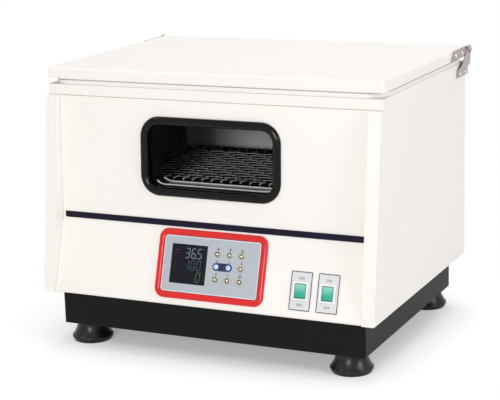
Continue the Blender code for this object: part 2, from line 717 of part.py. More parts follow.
def make_window(window, finish):
    neck, lip, bead = GASKET_NECK, GASKET_LIP, GASKET_BEAD
    glass_back = GLASS_FRONT - GLASS_THICKNESS
    groove = GLASS_BITE + GAP
    section = [
        (0, GLASS_FRONT + GAP),
        (0, GLASS_FRONT / 4),
        (neck / 2, bead / 2),
        (neck - GAP, bead),
        (lip - neck / 3, bead),
        (lip, bead / 2),
        (lip, GAP),
        (neck, GAP),
        (neck, -SHEET - GAP),
        (neck + GLASS_BITE, -SHEET - GAP),
        (neck + GLASS_BITE, -SHEET - GLASS_BITE),
        (neck, glass_back - GASKET_BACK),
        (0, glass_back - GASKET_BACK),
        (0, glass_back - GAP),
        (groove, glass_back - GAP),
        (groove, GLASS_FRONT + GAP),
    ]
    gasket = framed(bmesh.new(), WINDOW_HALF_WIDTH, WINDOW_HALF_HEIGHT, WINDOW_CORNER, section)
    piece("window_gasket", gasket, finish["gasket"], window)
    pane = rounded_rectangle(
        WINDOW_HALF_WIDTH + GLASS_BITE, WINDOW_HALF_HEIGHT + GLASS_BITE, WINDOW_CORNER + GLASS_BITE
    )
    piece("window_glass", prism(bmesh.new(), pane, glass_back, GLASS_FRONT), finish["glass"], window)


# Chamber

def make_liner(frame, finish):
    """Open-topped steel chamber with a rim flange, a hole for the sight collar, and drive holes."""
    rim = CASE_TOP - SHEET - GAP
    stations = (
        (0, CHAMBER_FLOOR),
        (0, rim),
        (LINER_FLANGE, rim),
        (LINER_FLANGE, rim - SHEET),
        (SHEET, rim - SHEET),
        (SHEET, LINER_BOTTOM),
    )
    loops = []
    for grow, height in stations:
        outline = rounded_rectangle(CHAMBER_HALF + grow, CHAMBER_DEPTH / 2 + grow, CHAMBER_CORNER + grow)
        loops.append([(x, y + CHAMBER_MIDDLE, height) for x, y in outline])
    liner = piece("chamber_liner", loft(bmesh.new(), loops), finish["steel"], frame)
    grow = SHEET + GAP
    outline = rounded_rectangle(WINDOW_HALF_WIDTH + grow, WINDOW_HALF_REVEAL + grow, WINDOW_CORNER + grow)
    placed = [(x + WINDOW_X, z + WINDOW_HEIGHT) for x, z in outline]
    cut(liner, prism(bmesh.new(), placed, CHAMBER_FRONT - CUT_MARGIN, CHAMBER_FRONT + CUT_MARGIN, "Y"))
    holes = bmesh.new()
    low, high = LINER_BOTTOM - CUT_MARGIN, CHAMBER_FLOOR + CUT_MARGIN
    turned(holes, [(SHAFT_HOLE_RADIUS, low), (SHAFT_HOLE_RADIUS, high)], ROUND_STEPS, centre=(0, CRANK_Y))
    for support_x in (-SUPPORT_X, SUPPORT_X):
        radius = HOUSING_RADIUS + GAP
        turned(holes, [(radius, low), (radius, high)], FINE_STEPS, centre=(support_x, SUPPORT_Y))
    cut(liner, holes)
    wall_holes = bmesh.new()
    wall = CHAMBER_FRONT + CHAMBER_DEPTH
    for hole_x, hole_z, radius in (
        (-HEATER_HALF_WIDTH, heater_height(), HEATER_RADIUS + GAP),
        (HEATER_HALF_WIDTH, heater_height(), HEATER_RADIUS + GAP),
        (PROBE_X, PROBE_Z, PROBE_RADIUS + GAP),
    ):
        outline = circle(radius, COARSE_STEPS, (hole_x, hole_z))
        prism(wall_holes, outline, wall - CUT_MARGIN, wall + CUT_MARGIN, "Y")
    outline = circle(FAN_SHAFT_RADIUS + GAP, COARSE_STEPS, (FAN_Y, FAN_Z))
    prism(wall_holes, outline, CHAMBER_HALF - CUT_MARGIN, CHAMBER_HALF + CUT_MARGIN, "X")
    cut(liner, wall_holes)


def make_collar(frame, finish):
    """Sight collar: a sheet tunnel through the chamber's front wall, flanged behind that wall."""
    front, back = PANEL_TOP_SETBACK + GASKET_NECK, CHAMBER_FRONT + GAP + SHEET
    section = [
        (0, front),
        (0, back),
        (COLLAR_FLANGE, back),
        (COLLAR_FLANGE, back - SHEET),
        (SHEET, back - SHEET),
        (SHEET, front),
    ]
    collar = framed(bmesh.new(), WINDOW_HALF_WIDTH, WINDOW_HALF_REVEAL, WINDOW_CORNER, section)
    piece("sight_collar", collar, finish["steel"], frame, (WINDOW_X, 0, WINDOW_HEIGHT), (-math.pi / 2, 0, 0))


def make_seal(frame, finish):
    low, high = CASE_TOP + GAP, LID_BOTTOM - GAP
    section = [
        (0, low),
        (0, high - SEAL_SHOULDER),
        (SEAL_SHOULDER, high),
        (SEAL_WIDTH - SEAL_SHOULDER, high),
        (SEAL_WIDTH, high - SEAL_SHOULDER),
        (SEAL_WIDTH, low),
    ]
    inset = SEAL_INSET + SEAL_WIDTH
    half_y = (CASE_DEPTH - LID_FRONT) / 2
    shape = framed(bmesh.new(), HALF_WIDTH - inset, half_y - inset, SEAL_WIDTH, section)
    piece("lid_seal", shape, finish["seal"], frame, (0, LID_FRONT + half_y, 0))


# Lid and hinges

def make_lid(axis, finish):
    """Shallow pan with softened top edges, closed below by a flat liner sheet."""
    home = (0, -PIVOT_Y, -PIVOT_Z)
    half_y = (CASE_DEPTH - LID_FRONT) / 2
    middle = LID_FRONT + half_y
    stations = (
        (LID_WALL, LID_TOP - LID_WALL),
        (LID_WALL, LID_BOTTOM),
        (0, LID_BOTTOM),
        *arc((LID_EDGE, LID_TOP - LID_EDGE), LID_EDGE, 180, 90, 2),
    )
    loops = []
    for inset, height in stations:
        outline = rounded_rectangle(LID_SIDE - inset, half_y - inset, LID_CORNER - inset)
        loops.append([(x, y + middle, height) for x, y in outline])
    piece("lid_shell", loft(bmesh.new(), loops), finish["case"], axis, home)
    inset = LID_WALL + GAP
    outline = rounded_rectangle(LID_SIDE - inset, half_y - inset, LID_CORNER - inset)
    placed = [(x, y + middle) for x, y in outline]
    sheet = prism(bmesh.new(), placed, LID_BOTTOM, LID_BOTTOM + SHEET)
    piece("lid_liner", sheet, finish["steel"], axis, home)


def make_case_leaf(frame, finish, name, side):
    """Strap that rises from its foot on the case side, steps outwards past the lid leaf, and ends in an eye."""
    foot_bottom = CASE_TOP - LEAF_REACH
    foot_top = foot_bottom + LEAF_FOOT
    foot_in = HALF_WIDTH + GAP
    front, rear = CASE_DEPTH - LEAF_FOOT_FRONT, CASE_DEPTH + LEAF_FOOT_REAR
    eye_front, eye_rear = PIVOT_Y - KNUCKLE_RADIUS, PIVOT_Y + KNUCKLE_RADIUS

    def edge(height):
        """Front and rear edge of the strap at a height between its foot and its eye."""
        share = (height - foot_top) / (PIVOT_Z - foot_top)
        return front + share * (eye_front - front), rear + share * (eye_rear - rear)

    stations = [(foot_bottom, front, rear, foot_in), (foot_top, front, rear, foot_in)]
    joggle_top = foot_top + LEAF_JOGGLE
    stations.append((joggle_top, *edge(joggle_top), CASE_LEAF_IN))
    stations.append((PIVOT_Z, eye_front, eye_rear, CASE_LEAF_IN))
    for step in range(1, LEAF_EYE_STEPS):
        angle = math.radians(90 * step / LEAF_EYE_STEPS)
        half = KNUCKLE_RADIUS * math.cos(angle)
        height = PIVOT_Z + KNUCKLE_RADIUS * math.sin(angle)
        stations.append((height, PIVOT_Y - half, PIVOT_Y + half, CASE_LEAF_IN))
    loops = []
    for height, low_y, high_y, inner in stations:
        outer = inner + LEAF_THICKNESS
        loops.append([
            (side * inner, low_y, height),
            (side * outer, low_y, height),
            (side * outer, high_y, height),
            (side * inner, high_y, height),
        ])
    leaf = piece(name, loft(bmesh.new(), loops), finish["plated"], frame)
    eye = circle(HINGE_PIN_RADIUS + GAP, ROUND_STEPS, (PIVOT_Y, PIVOT_Z))
    low_x, high_x = span(side, CASE_LEAF_IN - GAP, CASE_LEAF_OUT + CUT_MARGIN)
    cut(leaf, prism(bmesh.new(), eye, low_x, high_x, "X"))


def make_lid_leaf(axis, finish, name, side):
    """Leaf on the lid's side with the hinge pin riveted through its eye."""
    low_z = LID_BOTTOM + LID_LEAF_MARGIN - PIVOT_Z
    high_z = LID_TOP - LID_LEAF_MARGIN / 2 - PIVOT_Z
    eye = high_z
    outline = [(-LID_LEAF_LENGTH - PIVOT_BEHIND, low_z), (-2 * eye, low_z)]
    outline += arc((0, 0), eye, -100, 90, 2 * LEAF_EYE_STEPS)
    outline.append((LID_LEAF_TAPER - LID_LEAF_LENGTH - PIVOT_BEHIND, high_z))
    shape = prism(bmesh.new(), outline, *span(side, LID_LEAF_IN, LID_LEAF_OUT), "X")
    leaf = piece(name, shape, finish["plated"], axis)
    pin = bmesh.new()
    low_x, high_x = span(side, LID_LEAF_IN - GAP, CASE_LEAF_OUT + 2 * GAP)
    prism(pin, circle(HINGE_PIN_RADIUS, ROUND_STEPS), low_x, high_x, "X")
    add(leaf, pin)
    head = bmesh.new()
    low_x, high_x = span(side, CASE_LEAF_OUT + GAP, CASE_LEAF_OUT + GAP + HINGE_HEAD)
    prism(head, circle(HINGE_HEAD_RADIUS, ROUND_STEPS), low_x, high_x, "X")
    add(leaf, head)


# Controls

def make_controls(console, finish):
    half_u, half_s = BEZEL_HALF
    section = [
        (0, GAP),
        (0, BEZEL_HEIGHT - BEZEL_INNER_EDGE),
        (BEZEL_INNER_EDGE, BEZEL_HEIGHT),
        (BEZEL_BORDER - BEZEL_OUTER_EDGE, BEZEL_HEIGHT),
        (BEZEL_BORDER, BEZEL_HEIGHT - BEZEL_OUTER_EDGE),
        (BEZEL_BORDER, GAP),
    ]
    ring = framed(bmesh.new(), half_u, half_s, BEZEL_CORNER, section)
    centre = (*PANEL_CENTRE, 0)
    piece("control_bezel", ring, finish["bezel"], console, centre)
    outline = rounded_rectangle(half_u - GAP, half_s - GAP, BEZEL_CORNER - GAP)
    placed = [(u + PANEL_CENTRE[0], s + PANEL_CENTRE[1]) for u, s in outline]
    plate_top = GAP + PLATE_THICKNESS
    plate = piece("control_panel", prism(bmesh.new(), placed, GAP, plate_top), finish["plate"], console)
    openings = bmesh.new()
    reach = DISPLAY_HALF + GAP
    box(
        openings,
        (DISPLAY_CENTRE[0] - reach, DISPLAY_CENTRE[1] - reach, -CUT_MARGIN),
        (DISPLAY_CENTRE[0] + reach, DISPLAY_CENTRE[1] + reach, CUT_MARGIN),
    )
    for u in BUTTON_COLUMNS.values():
        for s in BUTTON_ROWS.values():
            radius = BUTTON_RADIUS + GAP
            turned(openings, [(radius, -CUT_MARGIN), (radius, CUT_MARGIN)], COARSE_STEPS, centre=(u, s))
    cut(plate, openings)
    pane = rounded_rectangle(DISPLAY_HALF, DISPLAY_HALF, DISPLAY_CORNER, 2)
    shape = prism(bmesh.new(), pane, -DISPLAY_DEPTH, plate_top + DISPLAY_PROUD)
    piece("display_window", shape, finish["display"], console, (*DISPLAY_CENTRE, 0))


def make_board(console, finish):
    """Circuit board with its standoffs, display block and the key switches under the buttons."""
    half_u = BEZEL_HALF[0] - BOARD_MARGIN
    half_s = BEZEL_HALF[1] - BOARD_MARGIN
    low_u, low_s = PANEL_CENTRE[0] - half_u, PANEL_CENTRE[1] - half_s
    high_u, high_s = PANEL_CENTRE[0] + half_u, PANEL_CENTRE[1] + half_s
    sheet = box(bmesh.new(), (low_u, low_s, -BOARD_DEPTH - BOARD_THICKNESS), (high_u, high_s, -BOARD_DEPTH))
    board = piece("control_board", sheet, finish["board"], console)
    root = -BOARD_DEPTH - BOARD_THICKNESS / 2
    on_board = bmesh.new()
    opening_left = electronics_opening()[0][0]
    left = (low_u + opening_left) / 2
    right = high_u - BOARD_HOLE_MARGIN
    for u in (left, right):
        for s in (low_s + BOARD_MARGIN, high_s - BOARD_MARGIN):
            profile = [(BOARD_STANDOFF_RADIUS, root), (BOARD_STANDOFF_RADIUS, -SHEET - GAP)]
            turned(on_board, profile, SMALL_STEPS, centre=(u, s))
    reach = DISPLAY_HALF - BOARD_MARGIN
    box(
        on_board,
        (DISPLAY_CENTRE[0] - reach, DISPLAY_CENTRE[1] - reach, root),
        (DISPLAY_CENTRE[0] + reach, DISPLAY_CENTRE[1] + reach, -DISPLAY_DEPTH - GAP),
    )
    switch_top = -BUTTON_STEM - BUTTON_TRAVEL_ROOM
    profile = [(BUTTON_STEM_RADIUS, root), (BUTTON_STEM_RADIUS, switch_top)]
    for u in BUTTON_COLUMNS.values():
        for s in BUTTON_ROWS.values():
            turned(on_board, profile, SMALL_STEPS, centre=(u, s))
    add(board, on_board)


def make_buttons(console, finish):
    """Domed metal keys, except the joined blue pair in the middle row."""
    top = GAP + PLATE_THICKNESS
    profile = [
        (BUTTON_STEM_RADIUS, -BUTTON_STEM),
        (BUTTON_STEM_RADIUS, GAP),
        (BUTTON_RADIUS, GAP),
    ]
    for angle in BUTTON_DOME_ANGLES:
        across, up = math.cos(math.radians(angle)), math.sin(math.radians(angle))
        profile.append((BUTTON_RADIUS * across, top + BUTTON_PROUD * up))
    for row, s in BUTTON_ROWS.items():
        for column, u in BUTTON_COLUMNS.items():
            blue = row == "middle" and column != "right"
            skin = finish["blue_key" if blue else "key"]
            shape = turned(bmesh.new(), profile, COARSE_STEPS)
            piece(f"button_{row}_{column}", shape, skin, console, (u, s, 0))


def make_switches(console, finish):
    plate_top = GAP + SWITCH_PLATE_THICKNESS
    bezel_bottom = plate_top + GAP
    bezel_top = bezel_bottom + SWITCH_BEZEL
    pivot = bezel_top - ROCKER_PIVOT_SINK
    half_w, half_h = SWITCH_BODY_HALF
    for side, u in SWITCH_CENTRES.items():
        centre = (u, SWITCH_HEIGHT, 0)
        outline = rounded_rectangle(*SWITCH_PLATE_HALF, SWITCH_PLATE_CORNER, 2)
        plate = prism(bmesh.new(), outline, GAP, plate_top)
        label = piece(f"switch_plate_{side}", plate, finish["plate"], console, centre)
        hole = rectangle(-half_w - GAP, -half_h - GAP, half_w + GAP, half_h + GAP)
        cut(label, prism(bmesh.new(), hole, -CUT_MARGIN, CUT_MARGIN))
        shell = box(bmesh.new(), (-half_w, -half_h, -SWITCH_BODY_DEPTH), (half_w, half_h, bezel_top))
        body = piece(f"switch_body_{side}", shell, finish["switch"], console, centre)
        flange = rounded_rectangle(*SWITCH_BEZEL_HALF, SWITCH_BEZEL_CORNER, 2)
        add(body, prism(bmesh.new(), flange, bezel_bottom, bezel_top))
        room_u, room_s = ROCKER_HALF_WIDTH + GAP, ROCKER_REACH + GAP
        well = box(bmesh.new(), (-room_u, -room_s, pivot - room_s), (room_u, room_s, bezel_top + CUT_MARGIN))
        cut(body, well)
        make_rocker(console, finish, f"switch_rocker_{side}", (u, SWITCH_HEIGHT, pivot))


def make_rocker(console, finish, name, pivot):
    """Rocker whose ends are arcs about its pivot, drawn pressed in at the top."""
    crown = math.degrees(math.asin(ROCKER_CROWN / ROCKER_REACH))
    low = math.degrees(math.asin(ROCKER_DEPTH / ROCKER_REACH))
    outline = arc((0, 0), ROCKER_REACH, -low, crown, 5)
    outline.append((0, ROCKER_DIP))
    outline += arc((0, 0), ROCKER_REACH, 180 - crown, 180 + low, 5)
    shape = prism(bmesh.new(), outline, -ROCKER_HALF_WIDTH, ROCKER_HALF_WIDTH, "X")
    bmesh.ops.rotate(shape, verts=shape.verts, matrix=Matrix.Rotation(-ROCKER_TILT, 3, "X"))
    piece(name, shape, finish["rocker"], console, pivot)


# Drive

def make_drive_plate(frame, finish):
    """Bridge of bent plate that stands on the tray's floor and carries the motor and the bearings."""
    foot = BASE_FLOOR + GAP
    path = [
        (-DRIVE_HALF_WIDTH, foot),
        (-DRIVE_HALF_WIDTH, DRIVE_PLATE_TOP),
        (DRIVE_HALF_WIDTH, DRIVE_PLATE_TOP),
        (DRIVE_HALF_WIDTH, foot),
    ]
    outline = folded_sheet(path, DRIVE_PLATE_THICKNESS)
    shape = prism(bmesh.new(), outline, DRIVE_FRONT, DRIVE_REAR, "Y")
    bridge = piece("drive_plate", shape, finish["cast"], frame)
    holes = bmesh.new()
    low, high = DRIVE_PLATE_UNDER - CUT_MARGIN, DRIVE_PLATE_TOP + CUT_MARGIN
    for radius, hole_x in ((SHAFT_HOLE_RADIUS, 0), (MOTOR_SHAFT_HOLE, -MOTOR_DISTANCE)):
        turned(holes, [(radius, low), (radius, high)], ROUND_STEPS, centre=(hole_x, CRANK_Y))
    cut(bridge, holes)


def make_bearings(frame, finish):
    top = DRIVE_PLATE_UNDER - GAP
    bore = SHAFT_RADIUS + GAP
    housing = [
        (bore, top),
        (HOUSING_FLANGE_RADIUS, top),
        (HOUSING_FLANGE_RADIUS, top - HOUSING_FLANGE),
        (HOUSING_RADIUS, top - HOUSING_FLANGE),
        (HOUSING_RADIUS, top - HOUSING_LENGTH),
        (bore, top - HOUSING_LENGTH),
    ]
    shape = turned(bmesh.new(), housing, ring=True)
    piece("bearing_housing", shape, finish["cast"], frame, (0, CRANK_Y, 0))
    low = DRIVE_PLATE_TOP + GAP
    column_top = WEB_BOTTOM - GAP
    column = [
        (SUPPORT_FLANGE_RADIUS, low),
        (SUPPORT_FLANGE_RADIUS, low + SUPPORT_FLANGE),
        (HOUSING_RADIUS, low + SUPPORT_FLANGE),
        (HOUSING_RADIUS, column_top),
        (bore, column_top),
        (bore, low + SUPPORT_TAIL),
    ]
    for side, support_x in (("left", -SUPPORT_X), ("right", SUPPORT_X)):
        shape = turned(bmesh.new(), column)
        piece(f"support_bearing_{side}", shape, finish["cast"], frame, (support_x, SUPPORT_Y, 0))


def crank(shaft_bottom):
    """Shaft, web and offset pin turned from one bar."""
    bar = [
        (SHAFT_RADIUS, shaft_bottom),
        (SHAFT_RADIUS, WEB_BOTTOM),
        (WEB_RADIUS, WEB_BOTTOM),
        (WEB_RADIUS, WEB_TOP),
    ]
    stub = [(PIN_RADIUS, WEB_TOP - WEB_THICKNESS / 2), (PIN_RADIUS, WEB_TOP + PIN_LENGTH)]
    return turned(bmesh.new(), bar), turned(bmesh.new(), stub, ROUND_STEPS, centre=(ORBIT_RADIUS, 0))


def make_crank(axis, finish):
    shape, pin = crank(DRIVE_PLATE_UNDER - HOUSING_LENGTH - SHAFT_TAIL)
    add(piece("crank_shaft", shape, finish["shaft"], axis), pin)
    piece("crank_pulley", pulley(CRANK_PULLEY_RADIUS, SHAFT_RADIUS + GAP), finish["pulley"], axis)


def make_support_crank(axis, finish, name):
    shape, pin = crank(DRIVE_PLATE_TOP + GAP + SUPPORT_TAIL + GAP)
    add(piece(name, shape, finish["shaft"], axis), pin)


def pulley(radius, bore):
    """Flanged flat-belt pulley with a thin web between hub and rim."""
    rim = radius + PULLEY_RIM
    hub = bore + PULLEY_HUB_WALL
    inner = radius - PULLEY_RIM_WALL
    middle = (PULLEY_BOTTOM + PULLEY_TOP) / 2
    profile = [
        (bore, PULLEY_BOTTOM),
        (hub, PULLEY_BOTTOM),
        (hub, middle - PULLEY_WEB / 2),
        (inner, middle - PULLEY_WEB / 2),
        (inner, PULLEY_BOTTOM),
        (rim, PULLEY_BOTTOM),
        (rim, PULLEY_BOTTOM + PULLEY_FLANGE),
        (radius, PULLEY_BOTTOM + PULLEY_FLANGE),
        (radius, PULLEY_TOP - PULLEY_FLANGE),
        (rim, PULLEY_TOP - PULLEY_FLANGE),
        (rim, PULLEY_TOP),
        (inner, PULLEY_TOP),
        (inner, middle + PULLEY_WEB / 2),
        (hub, middle + PULLEY_WEB / 2),
        (hub, PULLEY_TOP),
        (bore, PULLEY_TOP),
    ]
    return turned(bmesh.new(), profile, ROUND_STEPS, ring=True)


def make_motor(frame, axis, finish):
    top = DRIVE_PLATE_UNDER - GAP
    shaft_end = top - MOTOR_SHAFT_BITE
    can = [
        (MOTOR_RADIUS - MOTOR_CHAMFER, top - MOTOR_LENGTH),
        (MOTOR_RADIUS, top - MOTOR_LENGTH + MOTOR_CHAMFER),
        (MOTOR_RADIUS, top - MOTOR_FLANGE),
        (MOTOR_FLANGE_RADIUS, top - MOTOR_FLANGE),
        (MOTOR_FLANGE_RADIUS, top),
        (MOTOR_SHAFT_RADIUS + GAP, top),
        (MOTOR_SHAFT_RADIUS + GAP, shaft_end - GAP),
    ]
    shape = turned(bmesh.new(), can, ROUND_STEPS)
    piece("drive_motor", shape, finish["motor"], frame, (-MOTOR_DISTANCE, CRANK_Y, 0))
    rim = MOTOR_PULLEY_RADIUS + PULLEY_RIM
    profile = [
        (MOTOR_SHAFT_RADIUS, shaft_end),
        (MOTOR_SHAFT_RADIUS, PULLEY_BOTTOM),
        (rim, PULLEY_BOTTOM),
        (rim, PULLEY_BOTTOM + PULLEY_FLANGE),
        (MOTOR_PULLEY_RADIUS, PULLEY_BOTTOM + PULLEY_FLANGE),
        (MOTOR_PULLEY_RADIUS, PULLEY_TOP - PULLEY_FLANGE),
        (rim, PULLEY_TOP - PULLEY_FLANGE),
        (rim, PULLEY_TOP),
    ]
    piece("motor_pulley", turned(bmesh.new(), profile, ROUND_STEPS), finish["pulley"], axis)


def make_belt(frame, finish):
    """Flat belt: two arcs and the outer tangents between them."""
    wrap = math.degrees(math.acos((CRANK_PULLEY_RADIUS - MOTOR_PULLEY_RADIUS) / MOTOR_DISTANCE))
    low = PULLEY_BOTTOM + PULLEY_FLANGE + GAP
    high = PULLEY_TOP - PULLEY_FLANGE - GAP

    def path(offset):
        reach = MOTOR_PULLEY_RADIUS + offset
        large = arc((0, 0), CRANK_PULLEY_RADIUS + offset, wrap - 180, 180 - wrap, BELT_STEPS[0])
        small = arc((-MOTOR_DISTANCE, 0), reach, 180 - wrap, 180 + wrap, BELT_STEPS[1])
        return large + small

    inner, outer = path(GAP), path(GAP + BELT_THICKNESS)
    loops = [
        [(x, y, height) for x, y in outline]
        for outline, height in ((inner, low), (inner, high), (outer, high), (outer, low))
    ]
    piece("drive_belt", loft(bmesh.new(), loops, ring=True), finish["belt"], frame, (0, CRANK_Y, 0))


# Platform

def make_platform(pin_axis, finish):
    """Plate on three bearing bosses. Its frame is the crank pin; the orbit's centre is the chamber's."""
    middle_y = CHAMBER_MIDDLE - CRANK_Y
    outline = rounded_rectangle(PLATFORM_HALF_X, PLATFORM_HALF_Y, PLATFORM_CORNER)
    placed = [(x, y + middle_y) for x, y in outline]
    shape = prism(bmesh.new(), placed, PLATFORM_UNDER, PLATFORM_TOP)
    plate = piece("platform_plate", shape, finish["platform"], pin_axis)
    bore = PIN_RADIUS + GAP
    boss_profile = [(BOSS_RADIUS, BOSS_BOTTOM), (BOSS_RADIUS, PLATFORM_UNDER + ROOT_BITE)]
    bore_profile = [(bore, BOSS_BOTTOM - CUT_MARGIN), (bore, PLATFORM_UNDER - BORE_END)]
    bosses, bores = bmesh.new(), bmesh.new()
    for centre in ((0, 0), (-SUPPORT_X, SUPPORT_Y - CRANK_Y), (SUPPORT_X, SUPPORT_Y - CRANK_Y)):
        turned(bosses, boss_profile, COARSE_STEPS, centre=centre)
        turned(bores, bore_profile, COARSE_STEPS, centre=centre)
    add(plate, bosses)
    cut(plate, bores)


def make_rack(pin_axis, finish):
    """Rail frame on four posts, strung with springs both ways in two layers."""
    home = (0, CHAMBER_MIDDLE - CRANK_Y, 0)
    half_x, half_y = PLATFORM_HALF_X, PLATFORM_HALF_Y
    inner_x, inner_y = half_x - RAIL_WIDTH, half_y - RAIL_WIDTH
    section = [(0, RAIL_BOTTOM), (0, RACK_TOP), (RAIL_WIDTH, RACK_TOP), (RAIL_WIDTH, RAIL_BOTTOM)]
    rails = bmesh.new()
    loops = []
    for offset, height in section:
        outline = rectangle(-inner_x - offset, -inner_y - offset, inner_x + offset, inner_y + offset)
        loops.append([(x, y, height) for x, y in outline])
    loft(rails, loops, ring=True)
    rack = piece("spring_rack", rails, finish["spring"], pin_axis, home)
    posts = bmesh.new()
    for side_x in (-1, 1):
        for side_y in (-1, 1):
            low_x, high_x = sorted((side_x * inner_x, side_x * half_x))
            low_y, high_y = sorted((side_y * inner_y, side_y * half_y))
            box(posts, (low_x, low_y, RACK_FOOT), (high_x, high_y, RAIL_BOTTOM + ROOT_BITE))
    add(rack, posts)
    row_height = RACK_TOP - SPRING_ROW_DROP
    strings = bmesh.new()
    for y in spaced(inner_y):
        outline = circle(SPRING_RADIUS, 6, (y, row_height))
        prism(strings, outline, -inner_x - SPRING_BITE, inner_x + SPRING_BITE, "X")
    for x in spaced(inner_x):
        outline = circle(SPRING_RADIUS, 6, (x, row_height - SPRING_LAYER_STEP))
        prism(strings, outline, -inner_y - SPRING_BITE, inner_y + SPRING_BITE, "Y")
    add(rack, strings)


def spaced(half_length):
    """Places of the springs across a frame, one pitch apart and clear of its rails."""
    count = int((2 * half_length - SPRING_PITCH) / SPRING_PITCH) + 1
    return [(index - (count - 1) / 2) * SPRING_PITCH for index in range(count)]


# Heating and services

def heater_height():
    return CHAMBER_FLOOR + HEATER_LIFT


def make_heater(frame, finish):
    """U-shaped tubular element with both ends through the chamber's rear wall."""
    rear = CHAMBER_FRONT + CHAMBER_DEPTH + TERMINAL_LENGTH
    front = CHAMBER_FRONT + CHAMBER_DEPTH - HEATER_FORWARD
    path = [(HEATER_HALF_WIDTH, rear)]
    path += arc((HEATER_HALF_WIDTH - HEATER_BEND, front + HEATER_BEND), HEATER_BEND, 0, -90, 5)
    path += arc((HEATER_BEND - HEATER_HALF_WIDTH, front + HEATER_BEND), HEATER_BEND, -90, -180, 5)
    path.append((-HEATER_HALF_WIDTH, rear))
    curve = bpy.data.curves.new("heater", "CURVE")
    curve.dimensions = "3D"
    curve.bevel_depth = HEATER_RADIUS
    curve.bevel_resolution = 2
    curve.use_fill_caps = True
    spline = curve.splines.new("POLY")
    spline.points.add(len(path) - 1)
    for point, (x, y) in zip(spline.points, path):
        point.co = (x, y, 0, 1)
    curve.materials.append(finish["heater"])
    element = bpy.data.objects.new("heater", curve)
    bpy.context.scene.collection.objects.link(element)
    element.parent = frame
    element.location = (0, 0, heater_height())


def make_probe(frame, finish):
    wall = CHAMBER_FRONT + CHAMBER_DEPTH + SHEET
    profile = [
        (PROBE_RADIUS, wall - PROBE_LENGTH),
        (PROBE_RADIUS, wall + GAP),
        (PROBE_HEAD_RADIUS, wall + GAP),
        (PROBE_HEAD_RADIUS, wall + GAP + PROBE_HEAD),
    ]
    shape = turned(bmesh.new(), [(radius, -along) for radius, along in profile], COARSE_STEPS)
    piece("temperature_probe", shape, finish["shaft"], frame, (PROBE_X, 0, PROBE_Z), (math.pi / 2, 0, 0))


def spun(x, y, share):
    """A point turned about the origin by a share of a full turn."""
    angle = 2 * math.pi * share
    return x * math.cos(angle) - y * math.sin(angle), x * math.sin(angle) + y * math.cos(angle)


def make_fan(frame, axis, finish):
    """Wall fan: motor outside the liner, bladed wheel and slotted guard inside it."""
    sideways = (0, math.pi / 2, 0)
    wall_out = CHAMBER_HALF + SHEET + GAP
    wall_in = CHAMBER_HALF - GAP
    shaft_end = wall_out + FAN_SHAFT_BITE
    can = [
        (FAN_SHAFT_RADIUS + GAP, shaft_end + GAP),
        (FAN_SHAFT_RADIUS + GAP, wall_out),
        (FAN_MOTOR_RADIUS, wall_out),
        (FAN_MOTOR_RADIUS, wall_out + FAN_MOTOR_LENGTH),
    ]
    place = (0, FAN_Y, FAN_Z)
    piece("fan_motor", turned(bmesh.new(), can, ROUND_STEPS), finish["motor"], frame, place, sideways)
    back = wall_in - FAN_WALL_GAP
    hub = [
        (FAN_SHAFT_RADIUS, shaft_end),
        (FAN_SHAFT_RADIUS, back),
        (FAN_HUB_RADIUS, back),
        (FAN_HUB_RADIUS, back - FAN_DEPTH),
    ]
    shape = turned(bmesh.new(), hub, COARSE_STEPS)
    wheel = piece("fan_wheel", shape, finish["fan"], axis, (0, 0, 0), sideways)
    blades = bmesh.new()
    for index in range(FAN_BLADES):
        half = FAN_BLADE_THICKNESS / 2
        outline = rectangle(FAN_HUB_RADIUS - ROOT_BITE, -half, FAN_RADIUS, half)
        placed = [spun(x, y, index / FAN_BLADES) for x, y in outline]
        prism(blades, placed, back - FAN_DEPTH + FAN_BLADE_INSET, back - FAN_BLADE_INSET)
    add(wheel, blades)
    face = back - FAN_DEPTH - FAN_WALL_GAP
    bore = GUARD_RADIUS - GUARD_SHEET
    cup = [(GUARD_RADIUS, wall_in), (GUARD_RADIUS, face), (bore, face - GUARD_SHEET)]
    guard = piece("fan_guard", turned(bmesh.new(), cup), finish["steel"], frame, place, sideways)
    cut(guard, turned(bmesh.new(), [(bore, wall_in + CUT_MARGIN), (bore, face)]))
    slots = bmesh.new()
    for index in range(GUARD_SLOTS):
        half_length, half_width = GUARD_SLOT_HALF
        outline = rounded_rectangle(half_length, half_width, half_width, 2)
        placed = [spun(x + GUARD_SLOT_RADIUS, y, index / GUARD_SLOTS) for x, y in outline]
        prism(slots, placed, face - CUT_MARGIN, face + CUT_MARGIN)
    cut(guard, slots)


def make_inlet(frame, finish):
    """Mains appliance inlet in the rear panel, with an open socket."""
    outside = CASE_DEPTH + GAP
    centre = (INLET_X, 0, INLET_Z)
    face = outside + INLET_FLANGE
    outline = rounded_rectangle(*INLET_BODY_HALF, INLET_CORNER, 2)
    body = prism(bmesh.new(), outline, outside - INLET_DEPTH, face, "Y")
    inlet = piece("power_inlet", body, finish["socket"], frame, centre)
    flange = rounded_rectangle(*INLET_FLANGE_HALF, INLET_FLANGE_CORNER)
    add(inlet, prism(bmesh.new(), flange, outside, face, "Y"))
    socket = rounded_rectangle(*INLET_SOCKET_HALF, INLET_CORNER, 2)
    cut(inlet, prism(bmesh.new(), socket, face - INLET_SOCKET_DEPTH, face + CUT_MARGIN, "Y"))


